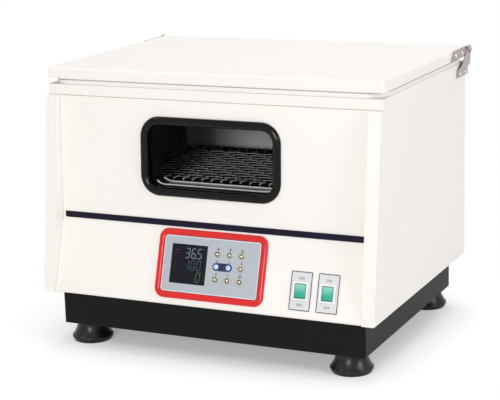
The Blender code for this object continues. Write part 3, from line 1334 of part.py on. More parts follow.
def make_finishes():
    return {
        "case": material("case enamel", (0.87, 0.85, 0.82), 0.35),
        "base": material("black enamel", (0.03, 0.03, 0.035), 0.5),
        "rubber": material("black rubber", (0.02, 0.02, 0.02), 0.7),
        "gasket": material("glossy black rubber", (0.01, 0.01, 0.012), 0.25),
        "seal": material("cream silicone", (0.72, 0.69, 0.66), 0.6),
        "glass": material("window glass", (0.75, 0.8, 0.8), 0.05, 0, 0.25),
        "steel": material("brushed stainless", (0.6, 0.6, 0.6), 0.35, 1),
        "plated": material("zinc plating", (0.6, 0.58, 0.56), 0.35, 1),
        "trim": material("navy stripe", (0.015, 0.015, 0.05), 0.4),
        "bezel": material("red bezel", (0.75, 0.03, 0.03), 0.3),
        "plate": material("lilac silver plate", (0.58, 0.6, 0.68), 0.45),
        "display": material("display glass", (0.01, 0.012, 0.04), 0.15),
        "key": material("brass key", (0.55, 0.42, 0.18), 0.3, 1),
        "blue_key": material("blue key", (0.3, 0.5, 0.8), 0.35),
        "switch": material("white switch body", (0.85, 0.87, 0.86), 0.35),
        "rocker": material("green rocker", (0.03, 0.5, 0.32), 0.2),
        "board": material("circuit board", (0.02, 0.2, 0.08), 0.5),
        "cast": material("grey cast metal", (0.25, 0.26, 0.27), 0.6, 0.5),
        "shaft": material("ground steel", (0.55, 0.55, 0.56), 0.25, 1),
        "pulley": material("aluminium pulley", (0.6, 0.6, 0.61), 0.35, 1),
        "motor": material("motor black", (0.05, 0.05, 0.055), 0.5),
        "belt": material("belt rubber", (0.015, 0.015, 0.015), 0.75),
        "platform": material("platform aluminium", (0.5, 0.5, 0.51), 0.4, 1),
        "spring": material("spring steel", (0.5, 0.5, 0.5), 0.3, 1),
        "heater": material("heater sheath", (0.3, 0.28, 0.26), 0.5, 1),
        "fan": material("fan aluminium", (0.45, 0.45, 0.46), 0.4, 1),
        "socket": material("black inlet", (0.02, 0.02, 0.02), 0.45),
    }


def main():
    clear_scene()
    finish = make_finishes()
    frame = empty("shaker", location=(0, -OVERALL_DEPTH / 2, 0))
    console = empty("console_plane", frame, (0, 0, CASE_BOTTOM), (math.pi / 2 - CONSOLE_SLOPE, 0, 0))
    window_y = CONSOLE_SETBACK + (WINDOW_HEIGHT - TRIM_TOP) * math.tan(PANEL_LEAN)
    window_centre = (WINDOW_X, window_y, WINDOW_HEIGHT)
    window = empty("window_plane", frame, window_centre, (math.pi / 2 - PANEL_LEAN, 0, 0))
    lid_axis = empty("lid_hinge_axis", frame, (0, PIVOT_Y, PIVOT_Z))
    crank_axis = empty("crank_axis", frame, (0, CRANK_Y, 0))
    pin_axis = empty("crank_pin_axis", frame, (ORBIT_RADIUS, CRANK_Y, 0))
    motor_axis = empty("motor_axis", frame, (-MOTOR_DISTANCE, CRANK_Y, 0))
    fan_axis = empty("fan_axis", frame, (0, FAN_Y, FAN_Z))

    make_base(frame, finish)
    make_feet(frame, finish)
    make_rear_panel(frame, finish)
    make_front_panel(frame, console, window, finish)
    make_top_frame(frame, finish)
    make_trim(frame, finish)
    make_window(window, finish)
    make_liner(frame, finish)
    make_collar(frame, finish)
    make_seal(frame, finish)
    make_lid(lid_axis, finish)
    for name, side in (("left", -1), ("right", 1)):
        make_side_panel(frame, finish, f"side_panel_{name}", side)
        make_case_leaf(frame, finish, f"hinge_case_leaf_{name}", side)
        make_lid_leaf(lid_axis, finish, f"hinge_lid_leaf_{name}", side)
        support_axis = empty(f"support_axis_{name}", frame, (side * SUPPORT_X, SUPPORT_Y, 0))
        make_support_crank(support_axis, finish, f"support_crank_{name}")
    make_controls(console, finish)
    make_board(console, finish)
    make_buttons(console, finish)
    make_switches(console, finish)
    make_drive_plate(frame, finish)
    make_bearings(frame, finish)
    make_crank(crank_axis, finish)
    make_motor(frame, motor_axis, finish)
    make_belt(frame, finish)
    make_platform(pin_axis, finish)
    make_rack(pin_axis, finish)
    make_heater(frame, finish)
    make_probe(frame, finish)
    make_fan(frame, fan_axis, finish)
    make_inlet(frame, finish)


main()
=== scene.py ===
"""Dresses a packed bench incubator shaker: finishes, coil springs, markings and a pale studio."""

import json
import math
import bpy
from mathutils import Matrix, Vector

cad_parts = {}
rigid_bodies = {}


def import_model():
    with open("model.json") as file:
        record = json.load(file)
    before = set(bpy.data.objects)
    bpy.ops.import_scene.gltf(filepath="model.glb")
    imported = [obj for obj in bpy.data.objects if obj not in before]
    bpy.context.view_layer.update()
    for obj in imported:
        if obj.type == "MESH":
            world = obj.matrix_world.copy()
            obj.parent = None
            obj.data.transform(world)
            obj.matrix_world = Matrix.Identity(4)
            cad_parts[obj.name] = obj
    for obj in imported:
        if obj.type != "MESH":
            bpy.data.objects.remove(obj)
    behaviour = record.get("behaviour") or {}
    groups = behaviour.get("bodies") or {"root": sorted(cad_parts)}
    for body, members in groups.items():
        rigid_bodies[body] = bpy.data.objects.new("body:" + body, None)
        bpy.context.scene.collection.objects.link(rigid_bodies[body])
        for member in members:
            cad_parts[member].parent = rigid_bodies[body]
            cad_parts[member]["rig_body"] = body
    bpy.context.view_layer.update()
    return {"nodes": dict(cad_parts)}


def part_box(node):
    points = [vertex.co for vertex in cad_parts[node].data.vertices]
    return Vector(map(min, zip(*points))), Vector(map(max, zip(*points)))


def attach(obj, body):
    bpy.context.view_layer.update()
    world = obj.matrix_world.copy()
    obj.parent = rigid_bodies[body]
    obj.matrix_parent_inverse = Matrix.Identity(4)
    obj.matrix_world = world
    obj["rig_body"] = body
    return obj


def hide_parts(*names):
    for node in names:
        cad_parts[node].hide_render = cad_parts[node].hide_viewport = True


bl_info = {
    "name": "Incubator Shaker Dresser",
    "version": (1, 0, 0),
    "blender": (4, 5, 0),
    "location": "View3D > Sidebar > Shaker",
    "description": "Dresses a packed incubator shaker with finishes, springs, controls and a stage",
    "category": "Object",
}

import bmesh
import bpy
from bpy.props import FloatProperty, FloatVectorProperty, PointerProperty
from mathutils import Matrix, Vector

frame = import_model()

MM = 0.001
GAP = 0.3 * MM
PRINT = 0.06 * MM
HOUSING = "housing"
REARWARDS = Matrix.Rotation(-math.pi / 2, 4, "X")
CREASE = 38


# Settings

def colour_setting(name, description, default):
    return FloatVectorProperty(
        name=name, description=description, default=default, subtype="COLOR", size=3, min=0, max=1
    )


def length_setting(name, description, default):
    return FloatProperty(
        name=name, description=description, default=default,
        subtype="DISTANCE", unit="LENGTH", min=0, precision=5,
    )


def angle_setting(name, description, degrees):
    return FloatProperty(name=name, description=description, default=math.radians(degrees), subtype="ANGLE")


def strength_setting(name, description, default):
    return FloatProperty(name=name, description=description, default=default, min=0)


class ShakerColours(bpy.types.PropertyGroup):
    """Colours that a user would change."""

    case: colour_setting("Case", "Powder coat of the case and the lid", (0.9, 0.868, 0.835))
    base: colour_setting("Base", "Enamel of the base tray", (0.005, 0.0055, 0.0055))
    stripe: colour_setting("Stripe", "Trim stripe under the window", (0.006, 0.0045, 0.019))
    bezel: colour_setting("Bezel", "Frame round the control panel", (0.69, 0.02, 0.022))
    film: colour_setting("Panel film", "Printed film of the control panel", (0.43, 0.458, 0.5))
    label: colour_setting("Switch labels", "Printed plates round the switches", (0.64, 0.64, 0.655))
    # Rocker and Rocker top are the two ends of painted light on the rockers: deeper green below, a paler top
    # that also glows.
    rocker: colour_setting("Rocker", "Lit part of the rocker switches", (0.008, 0.36, 0.235))
    rocker_painted_top: colour_setting("Rocker top", "Paler top of the rocker switches", (0.25, 0.62, 0.5))
    temperature: colour_setting("Temperature", "Digits of the display's first row", (0.1, 0.125, 0.17))
    speed: colour_setting("Speed", "Digits of the display's second row", (0.01, 0.035, 0.055))
    hours: colour_setting("Hours", "Digits of the display's third row", (0.035, 0.06, 0.018))


class ShakerSizes(bpy.types.PropertyGroup):
    """Sizes of the drawn details that a user would change."""

    console_lean: angle_setting("Console lean", "How far the console leans back from upright", 18.017)
    window_lean: angle_setting("Window lean", "How far the window panel leans back from upright", 3.06)
    edge: length_setting("Edge softness", "Width of the rounding on sheet edges", 0.35 * MM)
    wire: length_setting("Wire", "Radius of the spring wire", 0.3 * MM)
    coil: length_setting("Coil", "Radius of the springs to the middle of the wire", 0.5 * MM)
    coil_pitch: length_setting("Coil pitch", "Distance between two turns of a spring", 1.1 * MM)
    weave: length_setting("Weave", "How far a spring rises and dips where others cross it", 0.5 * MM)
    spring_pitch: length_setting("Spring pitch", "Distance between two springs", 16.7 * MM)
    row_pitch: length_setting("Row pitch", "Distance between two springs that run across", 16.7 * MM)
    rail: length_setting("Rail width", "Width of the rack's rails", 12 * MM)
    digit_height: length_setting("Digit height", "Height of the display's digits", 14.5 * MM)


class ShakerStage(bpy.types.PropertyGroup):
    """The camera and the studio."""

    azimuth: angle_setting("Azimuth", "Camera's turn to the right of the front", 25.32)
    elevation: angle_setting("Elevation", "Camera's height angle", 13.37)
    roll: angle_setting("Roll", "Camera's turn about its own axis", -1.65)
    distance: length_setting("Distance", "From the camera to its target", 2.5539)
    target: FloatVectorProperty(
        name="Target", description="Point the camera looks at", default=(-0.0306, 0.0249, 0.1991),
        subtype="TRANSLATION", unit="LENGTH",
    )
    lens: FloatProperty(name="Lens", description="Focal length in millimetres", default=111.015, min=10)
    sky: strength_setting("Sky", "Strength of the even light all round", 0.42)
    front: strength_setting("Front", "Power of the light before the window", 30.5)
    side: strength_setting("Side", "Power of the soft light on the right", 26)
    top: strength_setting("Top", "Power of the soft light overhead", 37)
    glint: strength_setting("Glint", "Power of the small light at the left", 3)
    haze: strength_setting("Haze", "How much the floor itself glows for the eye", 0.29)


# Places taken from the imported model

def span(node, plane=Matrix()):
    """Lowest and highest corner of a CAD node in a plane's own axes."""
    inverse = plane.inverted()
    points = [inverse @ vertex.co for vertex in frame["nodes"][node].data.vertices]
    columns = list(zip(*points))
    return Vector(min(column) for column in columns), Vector(max(column) for column in columns)


def middle(node, plane=Matrix()):
    low, high = span(node, plane)
    return (low + high) / 2


def halves(low, high, inset=0):
    """Half the width and half the height of a box, less an inset."""
    return (high.x - low.x) / 2 - inset, (high.y - low.y) / 2 - inset


def centred(low, high):
    """Moves what is drawn round the origin to the middle of a box, at height nought."""
    return Matrix.Translation(((low.x + high.x) / 2, (low.y + high.y) / 2, 0))


def leaning(origin, lean):
    """Axes of a leaning face: X across, Y up the slope, Z outwards."""
    return Matrix.Translation(origin) @ Matrix.Rotation(math.pi / 2 - lean, 4, "X")


def console_plane():
    low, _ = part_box("front_panel")
    return leaning((0, low.y, low.z), bpy.context.scene.shaker_sizes.console_lean)


def window_plane():
    """Axes at the window's centre, on the front face of the leaning panel."""
    lean = bpy.context.scene.shaker_sizes.window_lean
    facing = Matrix.Rotation(math.pi / 2 - lean, 4, "X")
    low, high = span("window_glass", facing)
    centre = facing @ Vector(((low.x + high.x) / 2, (low.y + high.y) / 2, high.z + 2 * MM))
    return Matrix.Translation(centre) @ facing


# Outlines and solids

def arc(centre, radius, start, end, steps):
    points = []
    for step in range(steps + 1):
        angle = math.radians(start + (end - start) * step / steps)
        points.append((centre[0] + radius * math.cos(angle), centre[1] + radius * math.sin(angle)))
    return points


def circle(radius, steps=24, centre=(0, 0)):
    return arc(centre, radius, 0, 360 - 360 / steps, steps - 1)


def rounded_rectangle(half_x, half_y, radius, steps=6, centre=(0, 0)):
    points = []
    for side_x, side_y, start in ((1, 1, 0), (-1, 1, 90), (-1, -1, 180), (1, -1, 270)):
        corner = (centre[0] + side_x * (half_x - radius), centre[1] + side_y * (half_y - radius))
        points += arc(corner, radius, start, start + 90, steps)
    return points


def loft(shape, loops, ring=False):
    """Skins equal loops in turn, and caps the ends or closes the ring."""
    rows = [[shape.verts.new(point) for point in loop] for loop in loops]
    pairs = list(zip(rows, rows[1:]))
    if ring:
        pairs.append((rows[-1], rows[0]))
    else:
        shape.faces.new(rows[0])
        shape.faces.new(rows[-1])
    for low, high in pairs:
        for index in range(len(low)):
            shape.faces.new((low[index], low[index - 1], high[index - 1], high[index]))
    return shape


def prism(shape, outline, low, high):
    return loft(shape, [[(x, y, end) for x, y in outline] for end in (low, high)])


def turned(profile, steps=32, centre=(0, 0)):
    """Revolves (radius, height) points about an upright axis."""
    loops = [[(x, y, height) for x, y in circle(radius, steps, centre)] for radius, height in profile]
    return loft(bmesh.new(), loops)


def framed(half_x, half_y, corner, section, steps=10):
    """Sweeps a closed section of (outward offset, height) points round a rounded rectangle."""
    loops = []
    for offset, height in section:
        outline = rounded_rectangle(half_x + offset, half_y + offset, corner + offset, steps)
        loops.append([(x, y, height) for x, y in outline])
    return loft(bmesh.new(), loops, ring=True)


def swell(width, low, height, steps=12, fullness=0.75):
    """Points over a rounded bead, from its inner edge to its outer one."""
    points = []
    for step in range(steps + 1):
        angle = math.pi * step / steps
        across = width / 2 * (1 - math.cos(angle))
        points.append((across, low + height * abs(math.sin(angle)) ** fullness))
    return points


def flat_line(width, face):
    """Section of a printed line on a face, for framed."""
    return [(0, face), (0, face + PRINT), (width, face + PRINT), (width, face)]


def bar(shape, start, end, width, low, high):
    """A straight printed stroke between two points."""
    start, end = Vector(start), Vector(end)
    side = (end - start).orthogonal().normalized() * width / 2
    outline = [start - side, end - side, end + side, start + side]
    return prism(shape, [tuple(point) for point in outline], low, high)


# Pieces

def placed(made, body, stands_for=()):
    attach(made, body)
    if stands_for:
        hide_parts(*stands_for)
    return made


def linked(name, data):
    made = bpy.data.objects.new(name, data)
    bpy.context.scene.collection.objects.link(made)
    return made


def mesh_of(name, shape, plane=None):
    """Turns a bmesh into a mesh, moved into a plane's axes."""
    mesh = bpy.data.meshes.new(name)
    shape.to_mesh(mesh)
    shape.free()
    if plane:
        mesh.transform(plane)
    return mesh


def shaded(mesh, crease=CREASE):
    mesh.shade_smooth()
    mesh.set_sharp_from_angle(angle=math.radians(crease))


def piece(name, shape, finish, body, plane=None, stands_for=(), crease=CREASE):
    """Turns a bmesh into a named piece that rides on a body."""
    bmesh.ops.recalc_face_normals(shape, faces=shape.faces)
    mesh = mesh_of(name, shape, plane)
    mesh.materials.append(surface(finish))
    shaded(mesh, crease)
    return placed(linked(name, mesh), body, stands_for)


def softened(node, finish, width=None):
    """Stands for a CAD node with its facets smoothed and its hard edges rounded."""
    source = frame["nodes"][node]
    shape = bmesh.new()
    shape.from_mesh(source.data)
    bmesh.ops.remove_doubles(shape, verts=shape.verts, dist=1e-6)
    bmesh.ops.dissolve_limit(shape, angle_limit=math.radians(0.5), verts=shape.verts, edges=shape.edges)
    made = piece(f"{node}_dressed", shape, finish, source["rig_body"], stands_for=(node,))
    width = bpy.context.scene.shaker_sizes.edge if width is None else width
    if width:
        bevel = made.modifiers.new("Soft edges", "BEVEL")
        bevel.width = width
        bevel.segments = 2
        bevel.limit_method = "ANGLE"
        bevel.angle_limit = math.radians(CREASE)
        flatten = made.modifiers.new("Even shading", "WEIGHTED_NORMAL")
        flatten.keep_sharp = True
    return made


def carved(made, shape, plane=None):
    """Cuts a bmesh out of a piece for good."""
    bmesh.ops.recalc_face_normals(shape, faces=shape.faces)
    cutter = linked("cutter", mesh_of("cutter", shape, plane))
    modifier = made.modifiers.new("Cut", "BOOLEAN")
    modifier.operation = "DIFFERENCE"
    modifier.solver = "EXACT"
    modifier.object = cutter
    graph = bpy.context.evaluated_depsgraph_get()
    result = bpy.data.meshes.new_from_object(made.evaluated_get(graph))
    made.modifiers.clear()
    made.data = result
    bpy.data.objects.remove(cutter)
    shaded(result)
    return made


def wires(name, paths, radius, finish, body, sides=1):
    """One curve object with a round wire along each path."""
    curve = bpy.data.curves.new(name, "CURVE")
    curve.dimensions = "3D"
    curve.bevel_depth = radius
    curve.bevel_resolution = sides
    curve.use_fill_caps = True
    for path in paths:
        spline = curve.splines.new("POLY")
        spline.points.add(len(path) - 1)
        for point, place in zip(spline.points, path):
            point.co = (*place, 1)
    curve.materials.append(surface(finish))
    return placed(linked(name, curve), body)


def lettering(name, words, height, place, plane, finish):
    """Small raised print in the built-in typeface."""
    curve = bpy.data.curves.new(name, "FONT")
    curve.body = words
    curve.size = height
    curve.extrude = PRINT / 2
    curve.align_x = "CENTER"
    curve.align_y = "CENTER"
    curve.materials.append(surface(finish))
    made = linked(name, curve)
    made.matrix_world = plane @ Matrix.Translation(place)
    return placed(made, HOUSING)


def repaint(node, finish):
    """Gives a carried-over CAD node a finish."""
    target = frame["nodes"][node]
    if not target.material_slots:
        target.data.materials.append(None)
    for socket in target.material_slots:
        socket.material = surface(finish)


# Finishes

def feed(tree, node, inputs):
    """Sets inputs to values, or links them to another node's output."""
    for name, value in inputs.items():
        if isinstance(value, bpy.types.NodeSocket):
            tree.links.new(value, node.inputs[name])
        else:
            node.inputs[name].default_value = value


def wired(tree, kind, inputs=None, **settings):
    """A new shader node with its settings made and its inputs fed."""
    node = tree.nodes.new(f"ShaderNode{kind}")
    for name, value in settings.items():
        setattr(node, name, value)
    feed(tree, node, inputs or {})
    return node


def node_of(tree, kind):
    return next(node for node in tree.nodes if node.bl_idname == f"ShaderNode{kind}")


def grained(name, colour, roughness, metallic=0.0, scale=500, contrast=0.04, spread=0.06,
            bump=0.15, depth=0.03 * MM, coat=0.0, detail=3.0, shine=0.5):
    """A principled finish whose colour, gloss and height all follow one fine grain."""
    finish = bpy.data.materials.new(name)
    finish.use_nodes = True
    finish.diffuse_color = (*colour, 1)
    tree = finish.node_tree
    place = wired(tree, "TexCoord")
    scale = scale if isinstance(scale, tuple) else (scale,) * 3
    stretch = wired(tree, "Mapping", {"Scale": scale, "Vector": place.outputs["Object"]})
    grain = wired(tree, "TexNoise", {"Scale": 1, "Detail": detail, "Vector": stretch.outputs["Vector"]})
    height = grain.outputs["Fac"]
    tint = wired(tree, "Mix", data_type="RGBA")
    feed(tree, tint, {
        "A": (*(channel * (1 - contrast) for channel in colour), 1),
        "B": (*(min(1, channel * (1 + contrast)) for channel in colour), 1),
        "Factor": height,
    })
    gloss = wired(tree, "MapRange", {
        "From Min": 0.3, "From Max": 0.7, "To Min": max(0, roughness - spread), "To Max": roughness + spread,
        "Value": height,
    })
    relief = wired(tree, "Bump", {"Strength": bump, "Distance": depth, "Height": height})
    feed(tree, node_of(tree, "BsdfPrincipled"), {
        "Metallic": metallic, "Coat Weight": coat, "Specular IOR Level": shine,
        "Base Color": tint.outputs["Result"], "Roughness": gloss.outputs["Result"],
        "Normal": relief.outputs["Normal"],
    })
    return finish


def powder_coat(name, colour):
    """Orange-peel enamel with a very slight drift of tone over the panels."""
    finish = grained(name, colour, 0.42, scale=650, contrast=0.012, spread=0.05, bump=0.12)
    tree = finish.node_tree
    tint, place = node_of(tree, "Mix"), node_of(tree, "TexCoord")
    drift = wired(tree, "TexNoise", {"Scale": 7, "Detail": 2, "Vector": place.outputs["Object"]})
    aged = wired(tree, "Mix", data_type="RGBA", blend_type="MULTIPLY")
    feed(tree, aged, {
        "A": tint.outputs["Result"], "B": (0.985, 0.975, 0.955, 1), "Factor": drift.outputs["Fac"],
    })
    feed(tree, node_of(tree, "BsdfPrincipled"), {"Base Color": aged.outputs["Result"]})
    return finish


def brushed(name, colour, roughness, along="X"):
    """Metal with fine lines along one direction."""
    scale = {"X": (12, 900, 900), "Y": (900, 12, 900), "Z": (900, 900, 12)}[along]
    return grained(name, colour, roughness, 1.0, scale, contrast=0.1, spread=0.08, bump=0.08, detail=2)


def cast(name, colour):
    return grained(name, colour, 0.62, 0.6, 260, contrast=0.25, spread=0.1, bump=0.6, depth=0.2 * MM)


def moulded(name, colour, roughness=0.35, coat=0.0, shine=0.5):
    """Smooth plastic with a very fine tooling grain."""
    return grained(
        name, colour, roughness, scale=900, contrast=0.02, spread=0.04, bump=0.06, coat=coat, shine=shine
    )


def window_pane(name):
    """Clear pane, barely tinted, whose face shows more at a glancing angle."""
    finish = grained(name, (0.02, 0.03, 0.03), 0.03, scale=30, contrast=0.01, spread=0.01, bump=0.0)
    tree = finish.node_tree
    glance = wired(tree, "Fresnel", {"IOR": 1.3})
    cover = wired(tree, "MapRange", {"To Min": 0.01, "To Max": 0.7, "Value": glance.outputs["Fac"]})
    feed(tree, node_of(tree, "BsdfPrincipled"), {"Alpha": cover.outputs["Result"]})
    return finish


def rocker_painted_light(name, low, high):
    """Green plastic with painted light: paler towards its top and faintly glowing, for light falling on it.
    """
    finish = moulded(name, low, 0.16, coat=0.5)
    tree = finish.node_tree
    place = node_of(tree, "TexCoord")
    split = wired(tree, "SeparateXYZ", {"Vector": place.outputs["Generated"]})
    painted_light_ramp = wired(tree, "ValToRGB", {"Fac": split.outputs["Z"]})
    for element, position, colour in zip(painted_light_ramp.color_ramp.elements, (0.35, 0.95), (low, high)):
        element.position = position
        element.color = (*colour, 1)
    # Painted light: the ramp makes the rocker paler towards its top and feeds its glow.
    glow = painted_light_ramp.outputs["Color"]
    feed(tree, node_of(tree, "BsdfPrincipled"), {
        "Base Color": glow, "Emission Color": glow, "Emission Strength": 0.12,
    })
    return finish


def lit_segment(name, colour):
    """A glowing display segment behind tinted plastic."""
    finish = moulded(name, colour, 0.4)
    tree = finish.node_tree
    feed(tree, node_of(tree, "BsdfPrincipled"), {"Emission Color": (*colour, 1), "Emission Strength": 0.8})
    return finish


def circuit_board(name):
    """Green board with pale tracks."""
    green = (0.02, 0.17, 0.07)
    finish = grained(name, green, 0.4, scale=400, contrast=0.1)
    tree = finish.node_tree
    tracks = wired(tree, "TexBrick", {
        "Color1": (*green, 1), "Color2": (0.015, 0.14, 0.06, 1), "Mortar": (0.35, 0.4, 0.2, 1),
        "Scale": 160, "Mortar Size": 0.03, "Vector": node_of(tree, "TexCoord").outputs["Object"],
    })
    feed(tree, node_of(tree, "BsdfPrincipled"), {"Base Color": tracks.outputs["Color"]})
    return finish


def panel_film(name, colour):
    """Matt printed film with a fine pearly speckle."""
    return grained(name, colour, 0.4, 0.25, 1400, contrast=0.08, spread=0.08, bump=0.05)


def by(maker, *values, **options):
    """A recipe: the function and the values that make a finish once it has a name."""
    return lambda name: maker(name, *values, **options)


def recipes():
    """Each finish by name, with the recipe that makes it."""
    colours = bpy.context.scene.shaker_colours
    lengthwise = (12, 900, 900)
    return {
        "case enamel": by(powder_coat, tuple(colours.case)),
        "black enamel": by(
            grained, tuple(colours.base), 0.45, scale=1100, contrast=0.25, spread=0.08, bump=0.35, shine=0.12
        ),
        "motor enamel": by(grained, (0.03, 0.03, 0.035), 0.45, contrast=0.15, bump=0.3),
        "grey primer": by(grained, (0.22, 0.23, 0.24), 0.6, contrast=0.1, bump=0.3),
        "foot rubber": by(grained, (0.006,) * 3, 0.32, contrast=0.2, spread=0.08, bump=0.2, shine=0.35),
        "seal rubber": by(grained, (0.03,) * 3, 0.65, contrast=0.2, spread=0.1, bump=0.3),
        "pale silicone": by(grained, (0.86, 0.82, 0.79), 0.55, contrast=0.03, bump=0.2),
        "gasket rubber": by(
            grained, (0.0015,) * 3, 0.1, scale=300, contrast=0.2, spread=0.03, bump=0.01, shine=0.22
        ),
        "belt rubber": by(grained, (0.015,) * 3, 0.7, contrast=0.3, bump=0.5),
        "window pane": window_pane,
        "chamber steel": by(
            grained, (0.76,) * 3, 0.5, 0.1, lengthwise, contrast=0.08, spread=0.08, bump=0.06, detail=2
        ),
        # Painted shade: near black liner for a chamber that lies in shade.
        "chamber paint": by(grained, (0.02,) * 3, 0.6, contrast=0.15, bump=0.25, shine=0.1),
        "sill steel": by(brushed, (0.45, 0.45, 0.455), 0.3),
        # Painted shade: near black collar for the shaded jambs of the sight tunnel.
        "jamb enamel": by(grained, (0.004,) * 3, 0.5, contrast=0.2, bump=0.1, shine=0.05),
        "hem steel": by(grained, (0.98,) * 3, 0.2, 0.25, lengthwise, contrast=0.02, spread=0.05, bump=0.05),
        "plate steel": by(brushed, (0.42,) * 3, 0.4, "Y"),
        # Painted shade: near black platform for the shade under the springs.
        "platform coat": by(grained, (0.005,) * 3, 0.9, contrast=0.2, bump=0.3, shine=0),
        "spring wire": by(grained, (0.97,) * 3, 0.3, 0.15, 300, contrast=0.03, spread=0.05, bump=0.03),
        # Painted shade: a dark copy of the spring wire for springs and hooks that lie in shade.
        "dull wire": by(grained, (0.05,) * 3, 0.6, scale=300, contrast=0.06, bump=0.03, shine=0.1),
        "hook wire": by(grained, (0.98,) * 3, 0.3, 0.1, 300, contrast=0.02, spread=0.05, bump=0.03),
        "ground steel": by(brushed, (0.5, 0.5, 0.51), 0.25, "Z"),
        "rack enamel": by(grained, (0.004,) * 3, 0.7, contrast=0.2, bump=0.2, shine=0),
        "zinc plate": by(grained, (0.42, 0.375, 0.365), 0.34, 1.0, 180, contrast=0.2, spread=0.1, bump=0.15),
        "screw steel": by(brushed, (0.75, 0.74, 0.73), 0.25, "Z"),
        "cast iron": by(cast, (0.16, 0.16, 0.17)),
        "turned aluminium": by(brushed, (0.62, 0.62, 0.63), 0.3, "X"),
        "heater sheath": by(grained, (0.22, 0.19, 0.17), 0.5, 1.0, contrast=0.25, bump=0.2),
        "navy stripe": by(moulded, tuple(colours.stripe), 0.4, shine=0.15),
        "red plastic": by(moulded, tuple(colours.bezel), 0.2, shine=0.3),
        "panel film": by(panel_film, tuple(colours.film)),
        "label film": by(panel_film, tuple(colours.label)),
        "display plastic": by(moulded, (0.007, 0.007, 0.013), 0.3, shine=0.15),
        "temperature light": by(lit_segment, tuple(colours.temperature)),
        "speed light": by(lit_segment, tuple(colours.speed)),
        "hours light": by(lit_segment, tuple(colours.hours)),
        "red lamp": by(lit_segment, (0.03, 0.006, 0.01)),
        "print ink": by(moulded, (0.02, 0.02, 0.025), 0.5, shine=0.2),
        "pale ink": by(moulded, (0.045, 0.04, 0.05), 0.5, shine=0.2),
        "white plastic": by(moulded, (0.86, 0.88, 0.87), 0.3),
        "black plastic": by(moulded, (0.012,) * 3, 0.45),
        # The rockers' paler top and glow are painted light.
        "rocker plastic": by(rocker_painted_light, tuple(colours.rocker), tuple(colours.rocker_painted_top)),
        # Painted shade: dark green line for the shaded slot round each rocker.
        "slot green": by(moulded, (0.004, 0.06, 0.04), 0.4, shine=0.2),
        "brass": by(grained, (0.62, 0.55, 0.4), 0.35, 0.7, contrast=0.15, spread=0.08, bump=0.1),
        "bronze dome": by(
            grained, (0.02, 0.015, 0.008), 0.3, 0.3, 300, contrast=0.15, spread=0.04, bump=0.03
        ),
        # Painted highlight: pale cap for the bright spot on each key's dome.
        "bright dome": by(grained, (0.75, 0.7, 0.6), 0.25, 0.6, 300, contrast=0.1, spread=0.04, bump=0.03),
        "key navy": by(moulded, (0.008, 0.012, 0.05), 0.3),
        "key blue": by(moulded, (0.03, 0.14, 0.45), 0.3),
        "key white": by(moulded, (0.75, 0.82, 0.9), 0.3),
        "circuit board": circuit_board,
    }


def surface(name):
    """The finish of that name, made on first use."""
    return bpy.data.materials.get(name) or recipes()[name](name)


# Fasteners

def screws(name, places, facing, radius, body, finish="screw steel"):
    """Pan-head screws with crossed slots. Facing turns their axis from Z."""
    profile = [
        (radius, 0),
        (radius, 0.25 * radius),
        (0.8 * radius, 0.5 * radius),
        (0.4 * radius, 0.62 * radius),
        (0.1 * radius, 0.64 * radius),
    ]
    shape, slots = bmesh.new(), bmesh.new()
    for place in places:
        plane = Matrix.Translation(place) @ facing
        for part, target in ((turned(profile, 20), shape), (cross_slot(radius), slots)):
            mesh = mesh_of("part", part, plane)
            target.from_mesh(mesh)
            bpy.data.meshes.remove(mesh)
    return carved(piece(name, shape, finish, body), slots)


def cross_slot(radius):
    arm, half = 0.55 * radius, 0.13 * radius
    outline = [(arm, -half), (arm, half), (half, half), (half, arm), (-half, arm), (-half, half)]
    outline += [(-x, -y) for x, y in outline]
    return prism(bmesh.new(), outline, 0.3 * radius, radius)


# Operators

class ShakerOperator:
    bl_options = {"REGISTER", "UNDO"}


class SHAKER_OT_case(ShakerOperator, bpy.types.Operator):
    """Dress the folded case panels and the trim stripe"""

    bl_idname = "shaker.case"
    bl_label = "Case"

    def execute(self, context):
        for node in ("side_panel_left", "side_panel_right", "front_panel", "top_frame", "rear_panel"):
            softened(node, "case enamel")
        softened("trim_stripe", "navy stripe", 0.15 * MM)
        low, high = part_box("rear_panel")
        inset = 9 * MM
        places = []
        for share in (0, 1 / 3, 2 / 3, 1):
            x = low.x + inset + (high.x - low.x - 2 * inset) * share
            places += [(x, high.y, low.z + inset), (x, high.y, high.z - inset)]
        for x in (low.x + inset, high.x - inset):
            places.append((x, high.y, (low.z + high.z) / 2))
        screws("rear_panel_screws", places, REARWARDS, 3 * MM, HOUSING)
        return {"FINISHED"}


class SHAKER_OT_base(ShakerOperator, bpy.types.Operator):
    """Dress the base tray and turn the rubber feet"""

    bl_idname = "shaker.base"
    bl_label = "Base and feet"

    def execute(self, context):
        softened("base_tray", "black enamel")
        for node in ("foot_front_left", "foot_front_right", "foot_rear_left", "foot_rear_right"):
            self.foot(node)
        return {"FINISHED"}

    def foot(self, node):
        """Bell of rubber: rounded sole, swept flare, straight neck and threaded stud."""
        low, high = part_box(node)
        flange = (high.x - low.x) / 2
        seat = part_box("base_tray")[0].z - GAP
        sole, neck, widest, waist = flange - 2.4 * MM, flange - 9.4 * MM, 7 * MM, 29 * MM
        profile = [(sole - 2 * MM, 0.8 * MM), (sole - 1.4 * MM, 0), (sole - 0.4 * MM, 0.3 * MM)]
        profile += [(sole, 1 * MM), (flange - 0.4 * MM, widest - 2 * MM), (flange, widest)]
        shoulder, flare = widest + 2 * MM, flange - 1.2 * MM
        profile += [(flange - 0.3 * MM, widest + 1.2 * MM), (flare, shoulder)]
        for step in range(1, 13):
            share = step / 12
            radius = neck + (flare - neck) * (1 - share) ** 1.7
            profile.append((radius, shoulder + (waist - shoulder) * share))
        profile += [(neck, seat - 1 * MM), (neck - 1 * MM, seat), (5 * MM, seat), (5 * MM, high.z)]
        bell = turned(profile, 48)
        piece(f"{node}_rubber", bell, "foot rubber", HOUSING, centred(low, high), (node,))


